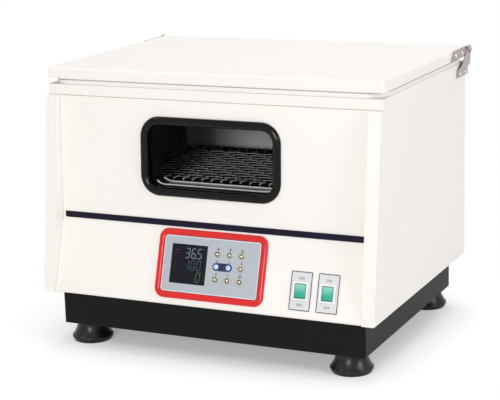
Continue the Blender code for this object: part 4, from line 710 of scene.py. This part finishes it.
class SHAKER_OT_lid(ShakerOperator, bpy.types.Operator):
    """Dress the lid and its liner sheet"""

    bl_idname = "shaker.lid"
    bl_label = "Lid"

    def execute(self, context):
        softened("lid_shell", "case enamel", 0.4 * MM)
        softened("lid_liner", "plate steel", 0.2 * MM)
        low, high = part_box("lid_liner")
        inset = 12 * MM
        places = []
        for share in (0, 0.5, 1):
            x = low.x + inset + (high.x - low.x - 2 * inset) * share
            places += [(x, low.y + 5 * MM, low.z), (x, high.y - 5 * MM, low.z)]
        screws("lid_liner_rivets", places, Matrix.Rotation(math.pi, 4, "X"), 2 * MM, "lid")
        return {"FINISHED"}


class SHAKER_OT_hinges(ShakerOperator, bpy.types.Operator):
    """Dress both corner hinges and set their screws"""

    bl_idname = "shaker.hinges"
    bl_label = "Hinges"

    def execute(self, context):
        for side, sign in (("left", -1), ("right", 1)):
            facing = Matrix.Rotation(sign * math.pi / 2, 4, "Y")
            case_leaf, lid_leaf = f"hinge_case_leaf_{side}", f"hinge_lid_leaf_{side}"
            softened(case_leaf, "zinc plate", 0.3 * MM)
            softened(lid_leaf, "zinc plate", 0.3 * MM)
            low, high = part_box(case_leaf)
            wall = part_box(f"side_panel_{side}")
            outer = (wall[1].x if sign > 0 else wall[0].x) + sign * 2.3 * MM
            places = [(outer, low.y + along * MM, low.z + 5.5 * MM) for along in (13, 40)]
            screws(f"hinge_case_screws_{side}", places, facing, 3.6 * MM, HOUSING)
            low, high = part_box(lid_leaf)
            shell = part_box("lid_shell")
            outer = (shell[1].x if sign > 0 else shell[0].x) + sign * 2.3 * MM
            middle_z = (shell[0].z + shell[1].z) / 2
            places = [(outer, low.y + along * MM, middle_z) for along in (18, 52)]
            screws(f"hinge_lid_screws_{side}", places, facing, 3.6 * MM, "lid")
        return {"FINISHED"}


class SHAKER_OT_window(ShakerOperator, bpy.types.Operator):
    """Roll the window gasket and set the pane in it"""

    bl_idname = "shaker.window"
    bl_label = "Window"

    def execute(self, context):
        plane = window_plane()
        low, high = span("window_glass", plane)
        bite = 4 * MM
        half_x, half_y = halves(low, high, bite)
        corner = 19 * MM
        outer = (span("window_gasket", plane)[1].x - span("window_gasket", plane)[0].x) / 2 - half_x
        front, back = high.z + GAP, low.z - GAP
        bead = swell(outer, GAP, 5.2 * MM, 16)
        section = [(0, front), *bead, (7 * MM, GAP), (7 * MM, -1.8 * MM), (11 * MM, -1.8 * MM)]
        section += [(11 * MM, -5.5 * MM), (7 * MM, back - 1.7 * MM), (0, back - 1.7 * MM), (0, back)]
        section += [(bite + GAP, back), (bite + GAP, front)]
        ring = framed(half_x, half_y, corner, section, 12)
        gasket = ("window_gasket",)
        piece("window_gasket_roll", ring, "gasket rubber", HOUSING, plane, gasket, 50)
        seam = [(outwards - half_y - outer, z + 0.05 * MM) for outwards, z in bead]
        place = 14 * MM
        joint = bmesh.new()
        loft(joint, [[(x, y, z) for y, z in seam] for x in (place, place + 0.35 * MM)])
        piece("window_gasket_joint", joint, "seal rubber", HOUSING, plane)
        softened("window_glass", "window pane", 0)
        return {"FINISHED"}


class SHAKER_OT_chamber(ShakerOperator, bpy.types.Operator):
    """Dress the chamber with its painted shade, and its hemmed sight tunnel, seal, heater, fan and probe"""

    bl_idname = "shaker.chamber"
    bl_label = "Chamber"

    def execute(self, context):
        # Painted shade: the liner is near black so the chamber's sides and floor read as shade; only the
        # splash plate is bright.
        softened("chamber_liner", "chamber paint", 0.3 * MM)
        self.splash_plate()
        # Painted shade: the collar is near black for the shaded jambs of the sight tunnel.
        softened("sight_collar", "jamb enamel", 0.3 * MM)
        self.seal()
        softened("fan_guard", "chamber steel", 0.2 * MM)
        softened("heater", "heater sheath", 0)
        softened("temperature_probe", "ground steel", 0.3 * MM)
        softened("fan_wheel", "turned aluminium", 0.2 * MM)
        repaint("fan_motor", "motor enamel")
        self.hems()
        return {"FINISHED"}

    def splash_plate(self):
        """Bright sheet on the dark rear wall, from the rack up; the liner's dark is painted shade. It is in
        the scene alone.
        """
        wall, reach = self.wall_face(), 245 * MM
        centre = middle("chamber_liner").x
        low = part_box("spring_rack")[1].z - 10.5 * MM
        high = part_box("chamber_liner")[1].z - 22 * MM
        outline = rounded_rectangle(reach, (high - low) / 2, 3 * MM, 4, (centre, (low + high) / 2))
        upright = Matrix.Rotation(math.pi / 2, 4, "X")
        plate = prism(bmesh.new(), outline, -(wall - GAP), -(wall - 1 * MM))
        piece("chamber_splash_plate", plate, "chamber steel", HOUSING, upright)

    def wall_face(self):
        """Depth of the chamber's rear wall, on the inside."""
        reach = middle("chamber_liner").y
        depths = []
        for face in frame["nodes"]["chamber_liner"].data.polygons:
            if face.normal.y < -0.9 and face.center.y > reach:
                depths.append((face.area, face.center.y))
        return max(depths)[1]

    def seal(self):
        """Cream rubber bulb under the lid, with a foot out to the frame's edge and a groove above it."""
        low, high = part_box("lid_seal")
        frame_low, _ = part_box("top_frame")
        bulb, foot = 12 * MM, low.x - frame_low.x - 0.5 * MM
        groove, lip = 1.4 * MM, foot - 3 * MM
        half_x, half_y = halves(low, high, bulb)
        under, over = low.z, high.z
        section = [(0, under), (0, over - 3 * MM), (1 * MM, over - 0.8 * MM), (3 * MM, over)]
        section += [(bulb - 3 * MM, over), (bulb + lip - 0.6 * MM, over), (bulb + lip, over - groove)]
        edge = bulb + foot
        section += [(edge - 1.4 * MM, over - groove), (edge - 0.4 * MM, over - groove - 0.4 * MM)]
        section += [(edge, over - groove - 1.4 * MM), (edge, under)]
        ring = framed(half_x, half_y, 12 * MM, section, 8)
        at = centred(low, high)
        piece("lid_seal_lipped", ring, "pale silicone", HOUSING, at, ("lid_seal",))

    def hems(self):
        """Rolled steel edges along the sill of the sight tunnel."""
        low, high = span("window_glass")
        half_x, height = (high.x - low.x) / 2 - 4 * MM, (low.z + high.z) / 2
        half_z, corner = 48 * MM, 19 * MM
        front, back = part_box("sight_collar")[0].y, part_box("sight_collar")[1].y
        centre, radius = (low.x + high.x) / 2, 1.2 * MM
        reach, drop, bend = half_x - radius, half_z - radius, corner - radius
        curve = arc((bend - reach, bend - drop), bend, 225, 270, 6)
        curve += arc((reach - bend, bend - drop), bend, 270, 350, 8)
        for name, depth in (("front", front + 2 * MM), ("rear", back + 1.5 * MM)):
            path = [(centre + x, depth, height + z) for x, z in curve]
            wires(f"tunnel_hem_{name}", [path], radius, "hem steel", HOUSING, 3)
        floor, flat = height - half_z, half_x - corner
        strip = [(centre - flat, front + 3 * MM), (centre + flat, front + 3 * MM)]
        strip += [(centre + flat, back - 1 * MM), (centre - flat, back - 1 * MM)]
        if floor > span("sight_collar")[0].z:
            sill = prism(bmesh.new(), strip, floor, floor + 0.4 * MM)
            piece("tunnel_sill", sill, "sill steel", HOUSING)


class SHAKER_OT_rack(ShakerOperator, bpy.types.Operator):
    """String the rack with coil springs between its rails"""

    bl_idname = "shaker.rack"
    bl_label = "Spring rack"

    def execute(self, context):
        sizes = context.scene.shaker_sizes
        # Painted shade: the platform is near black for the shade under the springs.
        softened("platform_plate", "platform coat", 0.3 * MM)
        low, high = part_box("spring_rack")
        centre = Vector(((low.x + high.x) / 2, (low.y + high.y) / 2, 0))
        half_x, half_y = halves(low, high)
        width, top = sizes.rail, high.z
        inner_x, inner_y = half_x - width, half_y - width
        rail_low, edge = top - 16 * MM, 1 * MM
        section = [(0, rail_low + edge), (0, top - edge), (edge, top), (width - edge, top)]
        section += [(width, top - edge), (width, rail_low + edge), (width - edge, rail_low)]
        section.append((edge, rail_low))
        rails = framed(inner_x, inner_y, 0.5 * MM, section, 3)
        plane = Matrix.Translation(centre)
        piece("rack_rails", rails, "rack enamel", "platform", plane, ("spring_rack",))
        posts = bmesh.new()
        for side_x in (-1, 1):
            for side_y in (-1, 1):
                place = (side_x * (half_x - sizes.rail / 2), side_y * (half_y - sizes.rail / 2))
                outline = rounded_rectangle(sizes.rail / 2 - edge, sizes.rail / 2 - edge, edge, 3, place)
                prism(posts, outline, low.z, rail_low + edge)
        piece("rack_posts", posts, "rack enamel", "platform", plane)
        level = high.z - 3.4 * MM
        rows = [centre.y + y for y in self.spread(inner_y, sizes.row_pitch)]
        columns = [centre.x + x for x in self.spread(inner_x, sizes.spring_pitch)]
        across, along, hooks, shaded_hooks = [], [], [], []
        for index, y in enumerate(rows):
            ends = (centre.x - inner_x, y, level), (centre.x + inner_x, y, level)
            first = columns[0] - ends[0][0]
            across.append(self.coil(*ends, first, sizes.spring_pitch, (-1) ** index))
            for side in (-1, 1):
                shaded_hooks.append(self.hook((centre.x + side * inner_x, y), (side, 0), high.z, level))
        for index, x in enumerate(columns):
            ends = (x, centre.y - inner_y, level), (x, centre.y + inner_y, level)
            first = rows[0] - ends[0][1]
            along.append(self.coil(*ends, first, sizes.row_pitch, -(-1) ** index))
            hooks.append(self.hook((x, centre.y - inner_y), (0, -1), high.z, level))
            shaded_hooks.append(self.hook((x, centre.y + inner_y), (0, 1), high.z, level))
        # Lit and shaded copies of one wire: the across springs and front hooks are bright, the along springs
        # and the other hooks carry painted shade.
        wires("rack_springs_across", across, sizes.wire, "spring wire", "platform")
        wires("rack_springs_along", along, sizes.wire, "dull wire", "platform")
        wires("rack_hooks_front", hooks, 1.3 * MM, "hook wire", "platform", 2)
        wires("rack_hooks_round", shaded_hooks, 1 * MM, "dull wire", "platform", 2)
        return {"FINISHED"}

    def spread(self, half_length, pitch):
        """Places one pitch apart and clear of the rails."""
        count = int((2 * half_length - pitch) / pitch) + 1
        return [(index - (count - 1) / 2) * pitch for index in range(count)]

    def coil(self, start, end, first, pitch, rise):
        """Points of a helix along X or Y that weaves over and under the springs it crosses."""
        sizes = bpy.context.scene.shaker_sizes
        start, end = Vector(start), Vector(end)
        leg, up = end - start, Vector((0, 0, 1))
        side = up.cross(leg).normalized()
        steps = 6 * round(leg.length / sizes.coil_pitch)
        points = []
        for step in range(steps + 1):
            angle = 2 * math.pi * step / 6
            crossing = (leg.length * step / steps - first) / pitch
            wave = up * rise * sizes.weave * math.cos(math.pi * crossing)
            spoke = side * math.cos(angle) + up * math.sin(angle)
            points.append(start + leg * step / steps + wave + spoke * sizes.coil)
        return points

    def hook(self, place, outwards, top, height):
        """Wire that leaves a spring's end, leans sideways over the rail and turns down its outside."""
        rail = bpy.context.scene.shaker_sizes.rail
        x, y = place
        out_x, out_y = outwards
        side_x, side_y = -abs(out_y), abs(out_x)
        path = []
        for out, sideways, z in (
            (-5.5, 0, height), (-4.5, 0, top + 0.4 * MM), (-3.5, 0.2, top + 0.9 * MM),
            (rail / MM - 0.4, 1.5, top + 0.4 * MM), (rail / MM + 0.7, 1.6, top - 1 * MM),
        ):
            shift_x = (out * out_x + sideways * side_x) * MM
            shift_y = (out * out_y + sideways * side_y) * MM
            path.append((x + shift_x, y + shift_y, z))
        return path


class SHAKER_OT_panel(ShakerOperator, bpy.types.Operator):
    """Dress the control panel: bezel, printed film, display and its digits"""

    bl_idname = "shaker.panel"
    bl_label = "Control panel"

    segments = {"0": "abcdef", "1": "bc", "3": "abcdg", "5": "acdfg", "6": "acdefg"}
    square = [(-1, -0.9), (1, -0.9), (1, 0.9), (-1, 0.9)]

    def execute(self, context):
        plane = console_plane()
        low, high = span("control_bezel", plane)
        border = 10.4 * MM
        half_u, half_s = halves(low, high, border)
        centre = plane @ centred(low, high)
        section = swell(border, GAP, 4.6 * MM, 14, 0.6)
        bezel = framed(half_u, half_s, 5 * MM, section, 8)
        stands_for = ("control_bezel",)
        piece("control_bezel_bead", bezel, "red plastic", HOUSING, centre, stands_for, 60)
        face = span("control_panel", plane)[1].z
        edge = framed(half_u - 1.4 * MM, half_s - 1.4 * MM, 4 * MM, flat_line(0.9 * MM, face), 4)
        piece("panel_edge_line", edge, "white plastic", HOUSING, centre)
        softened("control_panel", "panel film", 0.1 * MM)
        softened("control_board", "circuit board", 0)
        softened("display_window", "display plastic", 0.2 * MM)
        self.digits(plane)
        self.marks(plane)
        return {"FINISHED"}

    def digits(self, plane):
        low, high = span("display_window", plane)
        height = bpy.context.scene.shaker_sizes.digit_height
        width, step, right = 0.42 * height, 0.7 * height, high.x - 10 * MM
        centre = (low.y + high.y) / 2
        rows = (("temperature light", "365", 17), ("speed light", "100", -1), ("hours light", "0", -19))
        for finish, text, offset in rows:
            shape = bmesh.new()
            for index, digit in enumerate(reversed(text)):
                corner = (right - width - index * step, centre + offset * MM - height / 2)
                self.digit(shape, digit, corner, width, height, high.z)
            if text == "365":
                foot = (right - step + 0.14 * height, centre + offset * MM - height / 2)
                prism(shape, circle(0.06 * height, 12, foot), high.z, high.z + PRINT)
            name = f"display_{finish.split()[0]}"
            piece(name, shape, finish, HOUSING, plane)
        ticks = bmesh.new()
        for offset in (17, -19):
            top = centre + offset * MM + 0.42 * height
            ends = (right + 2.6 * MM, top), (right + 2.9 * MM, top + 2.2 * MM)
            bar(ticks, *ends, 0.7 * MM, high.z, high.z + PRINT)
        piece("display_ticks", ticks, "hours light", HOUSING, plane)
        lamps = bmesh.new()
        for across, offset in ((7, 21), (10.5, 21), (7, 16), (10.5, 16), (8, 2), (8, -2)):
            spot = (low.x + across * MM, centre + offset * MM)
            prism(lamps, rounded_rectangle(1 * MM, 0.8 * MM, 0.3 * MM, 2, spot), high.z, high.z + PRINT)
        piece("display_lamps", lamps, "red lamp", HOUSING, plane)

    def digit(self, shape, digit, corner, width, height, face):
        """One seven-segment digit, slightly slanted."""
        x, y = corner
        slant, thick = 0.09, 0.085 * height
        points = {
            "a": ((0, 1), (1, 1)), "b": ((1, 0.5), (1, 1)), "c": ((1, 0), (1, 0.5)), "d": ((0, 0), (1, 0)),
            "e": ((0, 0), (0, 0.5)), "f": ((0, 0.5), (0, 1)), "g": ((0, 0.5), (1, 0.5)),
        }
        for key in self.segments[digit]:
            ends = []
            for across, up in points[key]:
                ends.append(Vector((x + across * width + slant * up * height, y + up * height)))
            leg = (ends[1] - ends[0]).normalized() * 0.55 * thick
            bar(shape, ends[0] + leg, ends[1] - leg, thick, face, face + PRINT)

    def marks(self, plane):
        """A small plain symbol above each key."""
        face = span("control_panel", plane)[1].z
        symbols = {
            "button_top_left": "up", "button_top_centre": "down", "button_top_right": "ring",
            "button_middle_left": "back", "button_middle_centre": "next", "button_middle_right": "plus",
            "button_bottom_left": "bars", "button_bottom_centre": "minus", "button_bottom_right": "square",
        }
        strokes = {
            "up": (((-1, -0.8), (0, 0.9)), ((0, 0.9), (1, -0.8)), ((-1, -0.8), (1, -0.8))),
            "down": (((-1, 0.8), (0, -0.9)), ((0, -0.9), (1, 0.8)), ((-1, 0.8), (1, 0.8))),
            "back": (((0.8, -1), (-0.8, 0)), ((-0.8, 0), (0.8, 1))),
            "next": (((-0.8, -1), (0.8, 0)), ((0.8, 0), (-0.8, 1))),
            "plus": (((-1, 0), (1, 0)), ((0, -1), (0, 1))),
            "minus": (((-1, 0), (1, 0)),),
            "bars": (((-1, 0.6), (1, 0.6)), ((-1, -0.6), (1, -0.6))),
            "square": tuple(zip(self.square, self.square[1:] + self.square[:1])),
            "ring": tuple(zip(circle(1, 10), circle(1, 10)[1:] + circle(1, 10)[:1])),
        }
        shape = bmesh.new()
        for node, symbol in symbols.items():
            key = middle(node, plane)
            centre = Vector((key.x + 0.5 * MM, key.y + 8.2 * MM))
            for start, end in strokes[symbol]:
                ends = [centre + Vector(point) * 1.8 * MM for point in (start, end)]
                bar(shape, ends[0], ends[1], 0.75 * MM, face, face + PRINT)
        piece("panel_symbols", shape, "print ink", HOUSING, plane)


class SHAKER_OT_keys(ShakerOperator, bpy.types.Operator):
    """Turn the domed keys and the joined blue pair"""

    bl_idname = "shaker.keys"
    bl_label = "Keys"

    def execute(self, context):
        plane = console_plane()
        face = span("control_panel", plane)[1].z
        blue = []
        for row in ("top", "middle", "bottom"):
            for column in ("left", "centre", "right"):
                node = f"button_{row}_{column}"
                low, high = span(node, plane)
                seat = plane @ centred(low, high)
                body = f"key_{row}_{column}"
                if row == "middle" and column != "right":
                    blue.append((low + high) / 2)
                    self.blue_key(node, body, low.z, high.z, face, seat)
                else:
                    self.brass_key(node, body, low.z, high.z, face, seat)
        self.pill(plane, blue, face)
        return {"FINISHED"}

    def brass_key(self, node, body, low, high, face, seat):
        rim = face + 1.1 * MM
        ring = [(2.6 * MM, low), (2.6 * MM, GAP), (5 * MM, GAP), (5 * MM, rim - 0.4 * MM), (4.6 * MM, rim)]
        ring += [(3.9 * MM, rim), (3.6 * MM, rim - 0.5 * MM), (3.4 * MM, face)]
        piece(f"{node}_ring", turned(ring, 28), "brass", body, seat, (node,))
        dome = [(3.3 * MM, face + 0.05 * MM)]
        for across, up in arc((0, 0), 1, 10, 40, 4):
            dome.append((3.3 * MM * across, face + (high - face) * up))
        piece(f"{node}_dome", turned(dome, 28), "bronze dome", body, seat)
        # Painted highlight: a pale cap at the top of the dark dome stands for the lamps' bright spot on it.
        highlight_cap = [(2.1 * MM, dome[-1][1])]
        for across, up in arc((0, 0), 1, 46, 86, 5):
            highlight_cap.append((2.9 * MM * across, face + (high - face) * up))
        piece(f"{node}_crown", turned(highlight_cap, 24), "bright dome", body, seat)

    def blue_key(self, node, body, low, high, face, seat):
        top = face + 0.9 * MM
        cap = [(2.6 * MM, low), (2.6 * MM, GAP), (5 * MM, GAP), (5 * MM, top - 0.3 * MM), (4.7 * MM, top)]
        piece(f"{node}_cap", turned(cap, 28), "key blue", body, seat, (node,))
        disc = [(3.3 * MM, top + 0.02 * MM), (3.3 * MM, top + 0.3 * MM), (2.9 * MM, top + 0.5 * MM)]
        piece(f"{node}_disc", turned(disc, 28), "key white", body, seat)
        dot = [(1 * MM, top + 0.52 * MM), (1 * MM, top + 0.7 * MM)]
        piece(f"{node}_dot", turned(dot, 16), "key blue", body, seat)

    def pill(self, plane, keys, face):
        """Navy surround that joins the two blue keys."""
        centre = (keys[0] + keys[1]) / 2
        half = abs(keys[1].x - keys[0].x) / 2 + 6.1 * MM
        outline = rounded_rectangle(half, 6.1 * MM, 6.1 * MM, 10, (centre.x, centre.y))
        shape = prism(bmesh.new(), outline, face, face + 0.3 * MM)
        made = piece("key_surround", shape, "key navy", HOUSING, plane)
        holes = bmesh.new()
        for key in keys:
            prism(holes, circle(5.3 * MM, 28, (key.x, key.y)), face - MM, face + MM)
        carved(made, holes, plane)


class SHAKER_OT_switches(ShakerOperator, bpy.types.Operator):
    """Dress the switch plates, bezels and rockers with their painted light"""

    bl_idname = "shaker.switches"
    bl_label = "Switches"

    def execute(self, context):
        plane = console_plane()
        for side in ("left", "right"):
            softened(f"switch_plate_{side}", "label film", 0.15 * MM)
            softened(f"switch_body_{side}", "white plastic", 0.35 * MM)
            softened(f"switch_rocker_{side}", "rocker plastic", 0.4 * MM)
            low, high = span(f"switch_plate_{side}", plane)
            centre = (low + high) / 2
            face = high.z
            half_u, half_s = halves(low, high, 0.3 * MM)
            width = 1.2 * MM
            border = framed(half_u - width, half_s - width, 0.4 * MM, flat_line(width, face), 2)
            at = plane @ Matrix.Translation((centre.x, centre.y, 0))
            piece(f"switch_border_{side}", border, "pale ink", HOUSING, at)
            self.shade(side, plane)
            for words, offset in (("ON", 19), ("OFF", -21)):
                name = f"switch_{words.lower()}_{side}"
                place = (centre.x, centre.y + offset * MM, face + PRINT / 2)
                lettering(name, words, 5.6 * MM, place, plane, "print ink")
        return {"FINISHED"}

    def shade(self, side, plane):
        """Painted shade: a dark green printed line round a rocker, for the shaded slot between it and its
        frame.
        """
        low, high = span(f"switch_rocker_{side}", plane)
        face = span(f"switch_body_{side}", plane)[1].z
        at = plane @ centred(low, high)
        half_u, half_s = halves(low, high)
        line = flat_line(0.7 * MM, face)
        # Painted shade, printed flat on the switch body.
        painted_slot_shade = framed(half_u + 0.1 * MM, half_s + 0.1 * MM, 0.5 * MM, line, 2)
        piece(f"switch_painted_shade_{side}", painted_slot_shade, "slot green", HOUSING, at)


class SHAKER_OT_rear(ShakerOperator, bpy.types.Operator):
    """Dress the mains inlet and set its pins"""

    bl_idname = "shaker.rear"
    bl_label = "Rear fittings"

    def execute(self, context):
        softened("power_inlet", "black plastic", 0.3 * MM)
        low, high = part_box("power_inlet")
        centre = (low + high) / 2
        pins = bmesh.new()
        for across, up in ((-7, -1.5), (0, 2.5), (7, -1.5)):
            outline = rounded_rectangle(1 * MM, 2 * MM, 0.3 * MM, 2, (across * MM, up * MM))
            prism(pins, outline, -15.5 * MM, -2 * MM)
        face = Matrix.Translation((centre.x, high.y, centre.z)) @ REARWARDS
        piece("inlet_pins", pins, "screw steel", HOUSING, face)
        places = [(centre.x + side * 20 * MM, high.y, centre.z) for side in (-1, 1)]
        screws("inlet_screws", places, REARWARDS, 2.6 * MM, HOUSING)
        return {"FINISHED"}


class SHAKER_OT_drive(ShakerOperator, bpy.types.Operator):
    """Finish the orbital drive under the chamber"""

    bl_idname = "shaker.drive"
    bl_label = "Drive"

    def execute(self, context):
        for node, finish in {
            "drive_plate": "grey primer",
            "bearing_housing": "cast iron",
            "support_bearing_left": "cast iron",
            "support_bearing_right": "cast iron",
            "drive_motor": "motor enamel",
            "drive_belt": "belt rubber",
            "crank_shaft": "ground steel",
            "crank_pulley": "turned aluminium",
            "support_crank_left": "ground steel",
            "support_crank_right": "ground steel",
            "motor_pulley": "turned aluminium",
        }.items():
            softened(node, finish, 0.3 * MM if "crank" in node or "pulley" in node else 0)
        return {"FINISHED"}


class SHAKER_OT_stage(ShakerOperator, bpy.types.Operator):
    """Set the camera, the pale floor and the soft studio light"""

    bl_idname = "shaker.stage"
    bl_label = "Stage"

    def execute(self, context):
        context.scene.view_settings.view_transform = "Standard"
        self.camera(context)
        self.floor()
        self.sky(context)
        stage = context.scene.shaker_stage
        self.lamp("front_light", (0.2, -3, 0.85), (0, 0, 0.25), 0.75, stage.front)
        self.lamp("side_light", (2.7, -0.7, 1.3), (0, 0, 0.2), 1, stage.side)
        self.lamp("top_light", (0, 0.4, 2.8), (0, 0, 0.3), 2, stage.top)
        self.lamp("edge_light", (-1.5, -1.7, 1.9), (0, -0.2, 0.3), 0.25, stage.glint)
        return {"FINISHED"}

    def camera(self, context):
        stage = context.scene.shaker_stage
        turn = Matrix.Rotation(stage.azimuth, 3, "Z")
        tip = Matrix.Rotation(math.pi / 2 - stage.elevation, 3, "X")
        facing = turn @ tip @ Matrix.Rotation(stage.roll, 3, "Z")
        data = bpy.data.cameras.new("camera")
        data.lens = stage.lens
        data.sensor_width = 36
        made = linked("camera", data)
        place = Vector(stage.target) + facing.col[2] * stage.distance
        made.matrix_world = Matrix.Translation(place) @ facing.to_4x4()
        context.scene.camera = made

    def floor(self):
        shape = bmesh.new()
        reach = 14
        bmesh.ops.create_grid(shape, x_segments=1, y_segments=1, size=reach)
        mesh = mesh_of("floor", shape)
        finish = bpy.data.materials.new("floor paper")
        finish.use_nodes = True
        tree = finish.node_tree
        paper = node_of(tree, "BsdfPrincipled")
        feed(tree, paper, {"Base Color": (0.84, 0.84, 0.84, 1), "Roughness": 0.9, "Specular IOR Level": 0})
        glow = wired(tree, "Emission", {"Strength": bpy.context.scene.shaker_stage.haze})
        none = wired(tree, "BsdfTransparent", {"Color": (0, 0, 0, 1)})
        seen = self.mixed(tree, self.visible(tree), none.outputs["BSDF"], glow.outputs["Emission"])
        both = wired(tree, "AddShader", {0: paper.outputs["BSDF"], 1: seen})
        white = wired(tree, "Emission")
        backdrop = self.mixed(tree, self.faraway(tree), both.outputs["Shader"], white.outputs["Emission"])
        feed(tree, tree.nodes["Material Output"], {"Surface": backdrop})
        mesh.materials.append(finish)
        linked("floor", mesh)

    def mixed(self, tree, share, first, second):
        mix = wired(tree, "MixShader", {"Fac": share, 1: first, 2: second})
        return mix.outputs["Shader"]

    def faraway(self, tree):
        """Nought near the object, rising to one further out, for rays that show the backdrop."""
        place = wired(tree, "TexCoord")
        reach = wired(tree, "VectorMath", {0: place.outputs["Object"]}, operation="LENGTH")
        near, far = 0.24, 0.52
        fade = wired(tree, "MapRange", interpolation_type="SMOOTHSTEP")
        feed(tree, fade, {"From Min": near, "From Max": far, "Value": reach.outputs["Value"]})
        factors = {0: fade.outputs["Result"], 1: self.visible(tree)}
        return wired(tree, "Math", factors, operation="MULTIPLY").outputs["Value"]

    def sky(self, context):
        world = bpy.data.worlds.new("studio")
        context.scene.world = world
        world.use_nodes = True
        tree = world.node_tree
        light = tree.nodes["Background"]
        feed(tree, light, {"Color": (1, 1, 1, 1), "Strength": context.scene.shaker_stage.sky})
        white = wired(tree, "Background", {"Strength": 1})
        seen = self.mixed(
            tree, self.visible(tree), light.outputs["Background"], white.outputs["Background"]
        )
        feed(tree, tree.nodes["World Output"], {"Surface": seen})

    def visible(self, tree):
        """One for rays that show the backdrop: straight, mirrored or through glass."""
        rays = wired(tree, "LightPath")
        total = rays.outputs["Is Camera Ray"]
        for kind in ("Is Glossy Ray", "Is Transmission Ray"):
            either = wired(tree, "Math", {0: total, 1: rays.outputs[kind]}, operation="MAXIMUM")
            total = either.outputs["Value"]
        return total

    def lamp(self, name, place, aim, size, power):
        data = bpy.data.lights.new(name, "AREA")
        data.shape = "SQUARE"
        data.size = size
        data.energy = power
        made = linked(name, data)
        made.location = place
        made.rotation_euler = (Vector(place) - Vector(aim)).to_track_quat("Z", "Y").to_euler()


class SHAKER_PT_sidebar(bpy.types.Panel):
    """Lists the dressing steps and their settings"""

    bl_label = "Incubator Shaker"
    bl_idname = "SHAKER_PT_sidebar"
    bl_space_type = "VIEW_3D"
    bl_region_type = "UI"
    bl_category = "Shaker"

    def draw(self, context):
        for step in STEPS:
            self.layout.operator(step.bl_idname)
        for group in (context.scene.shaker_colours, context.scene.shaker_sizes, context.scene.shaker_stage):
            box = self.layout.box()
            for name in group.__annotations__:
                box.prop(group, name)


GROUPS = (ShakerColours, ShakerSizes, ShakerStage)
STEPS = (
    SHAKER_OT_stage,
    SHAKER_OT_case,
    SHAKER_OT_base,
    SHAKER_OT_lid,
    SHAKER_OT_hinges,
    SHAKER_OT_window,
    SHAKER_OT_chamber,
    SHAKER_OT_rack,
    SHAKER_OT_panel,
    SHAKER_OT_keys,
    SHAKER_OT_switches,
    SHAKER_OT_rear,
    SHAKER_OT_drive,
)


def register():
    for item in (*GROUPS, *STEPS, SHAKER_PT_sidebar):
        bpy.utils.register_class(item)
    bpy.types.Scene.shaker_colours = PointerProperty(type=ShakerColours)
    bpy.types.Scene.shaker_sizes = PointerProperty(type=ShakerSizes)
    bpy.types.Scene.shaker_stage = PointerProperty(type=ShakerStage)


def unregister():
    del bpy.types.Scene.shaker_stage
    del bpy.types.Scene.shaker_sizes
    del bpy.types.Scene.shaker_colours
    for item in reversed((*GROUPS, *STEPS, SHAKER_PT_sidebar)):
        bpy.utils.unregister_class(item)


def main():
    register()
    for step in STEPS:
        group, action = step.bl_idname.split(".")
        getattr(getattr(bpy.ops, group), action)()


if __name__ == "__main__":
    main()
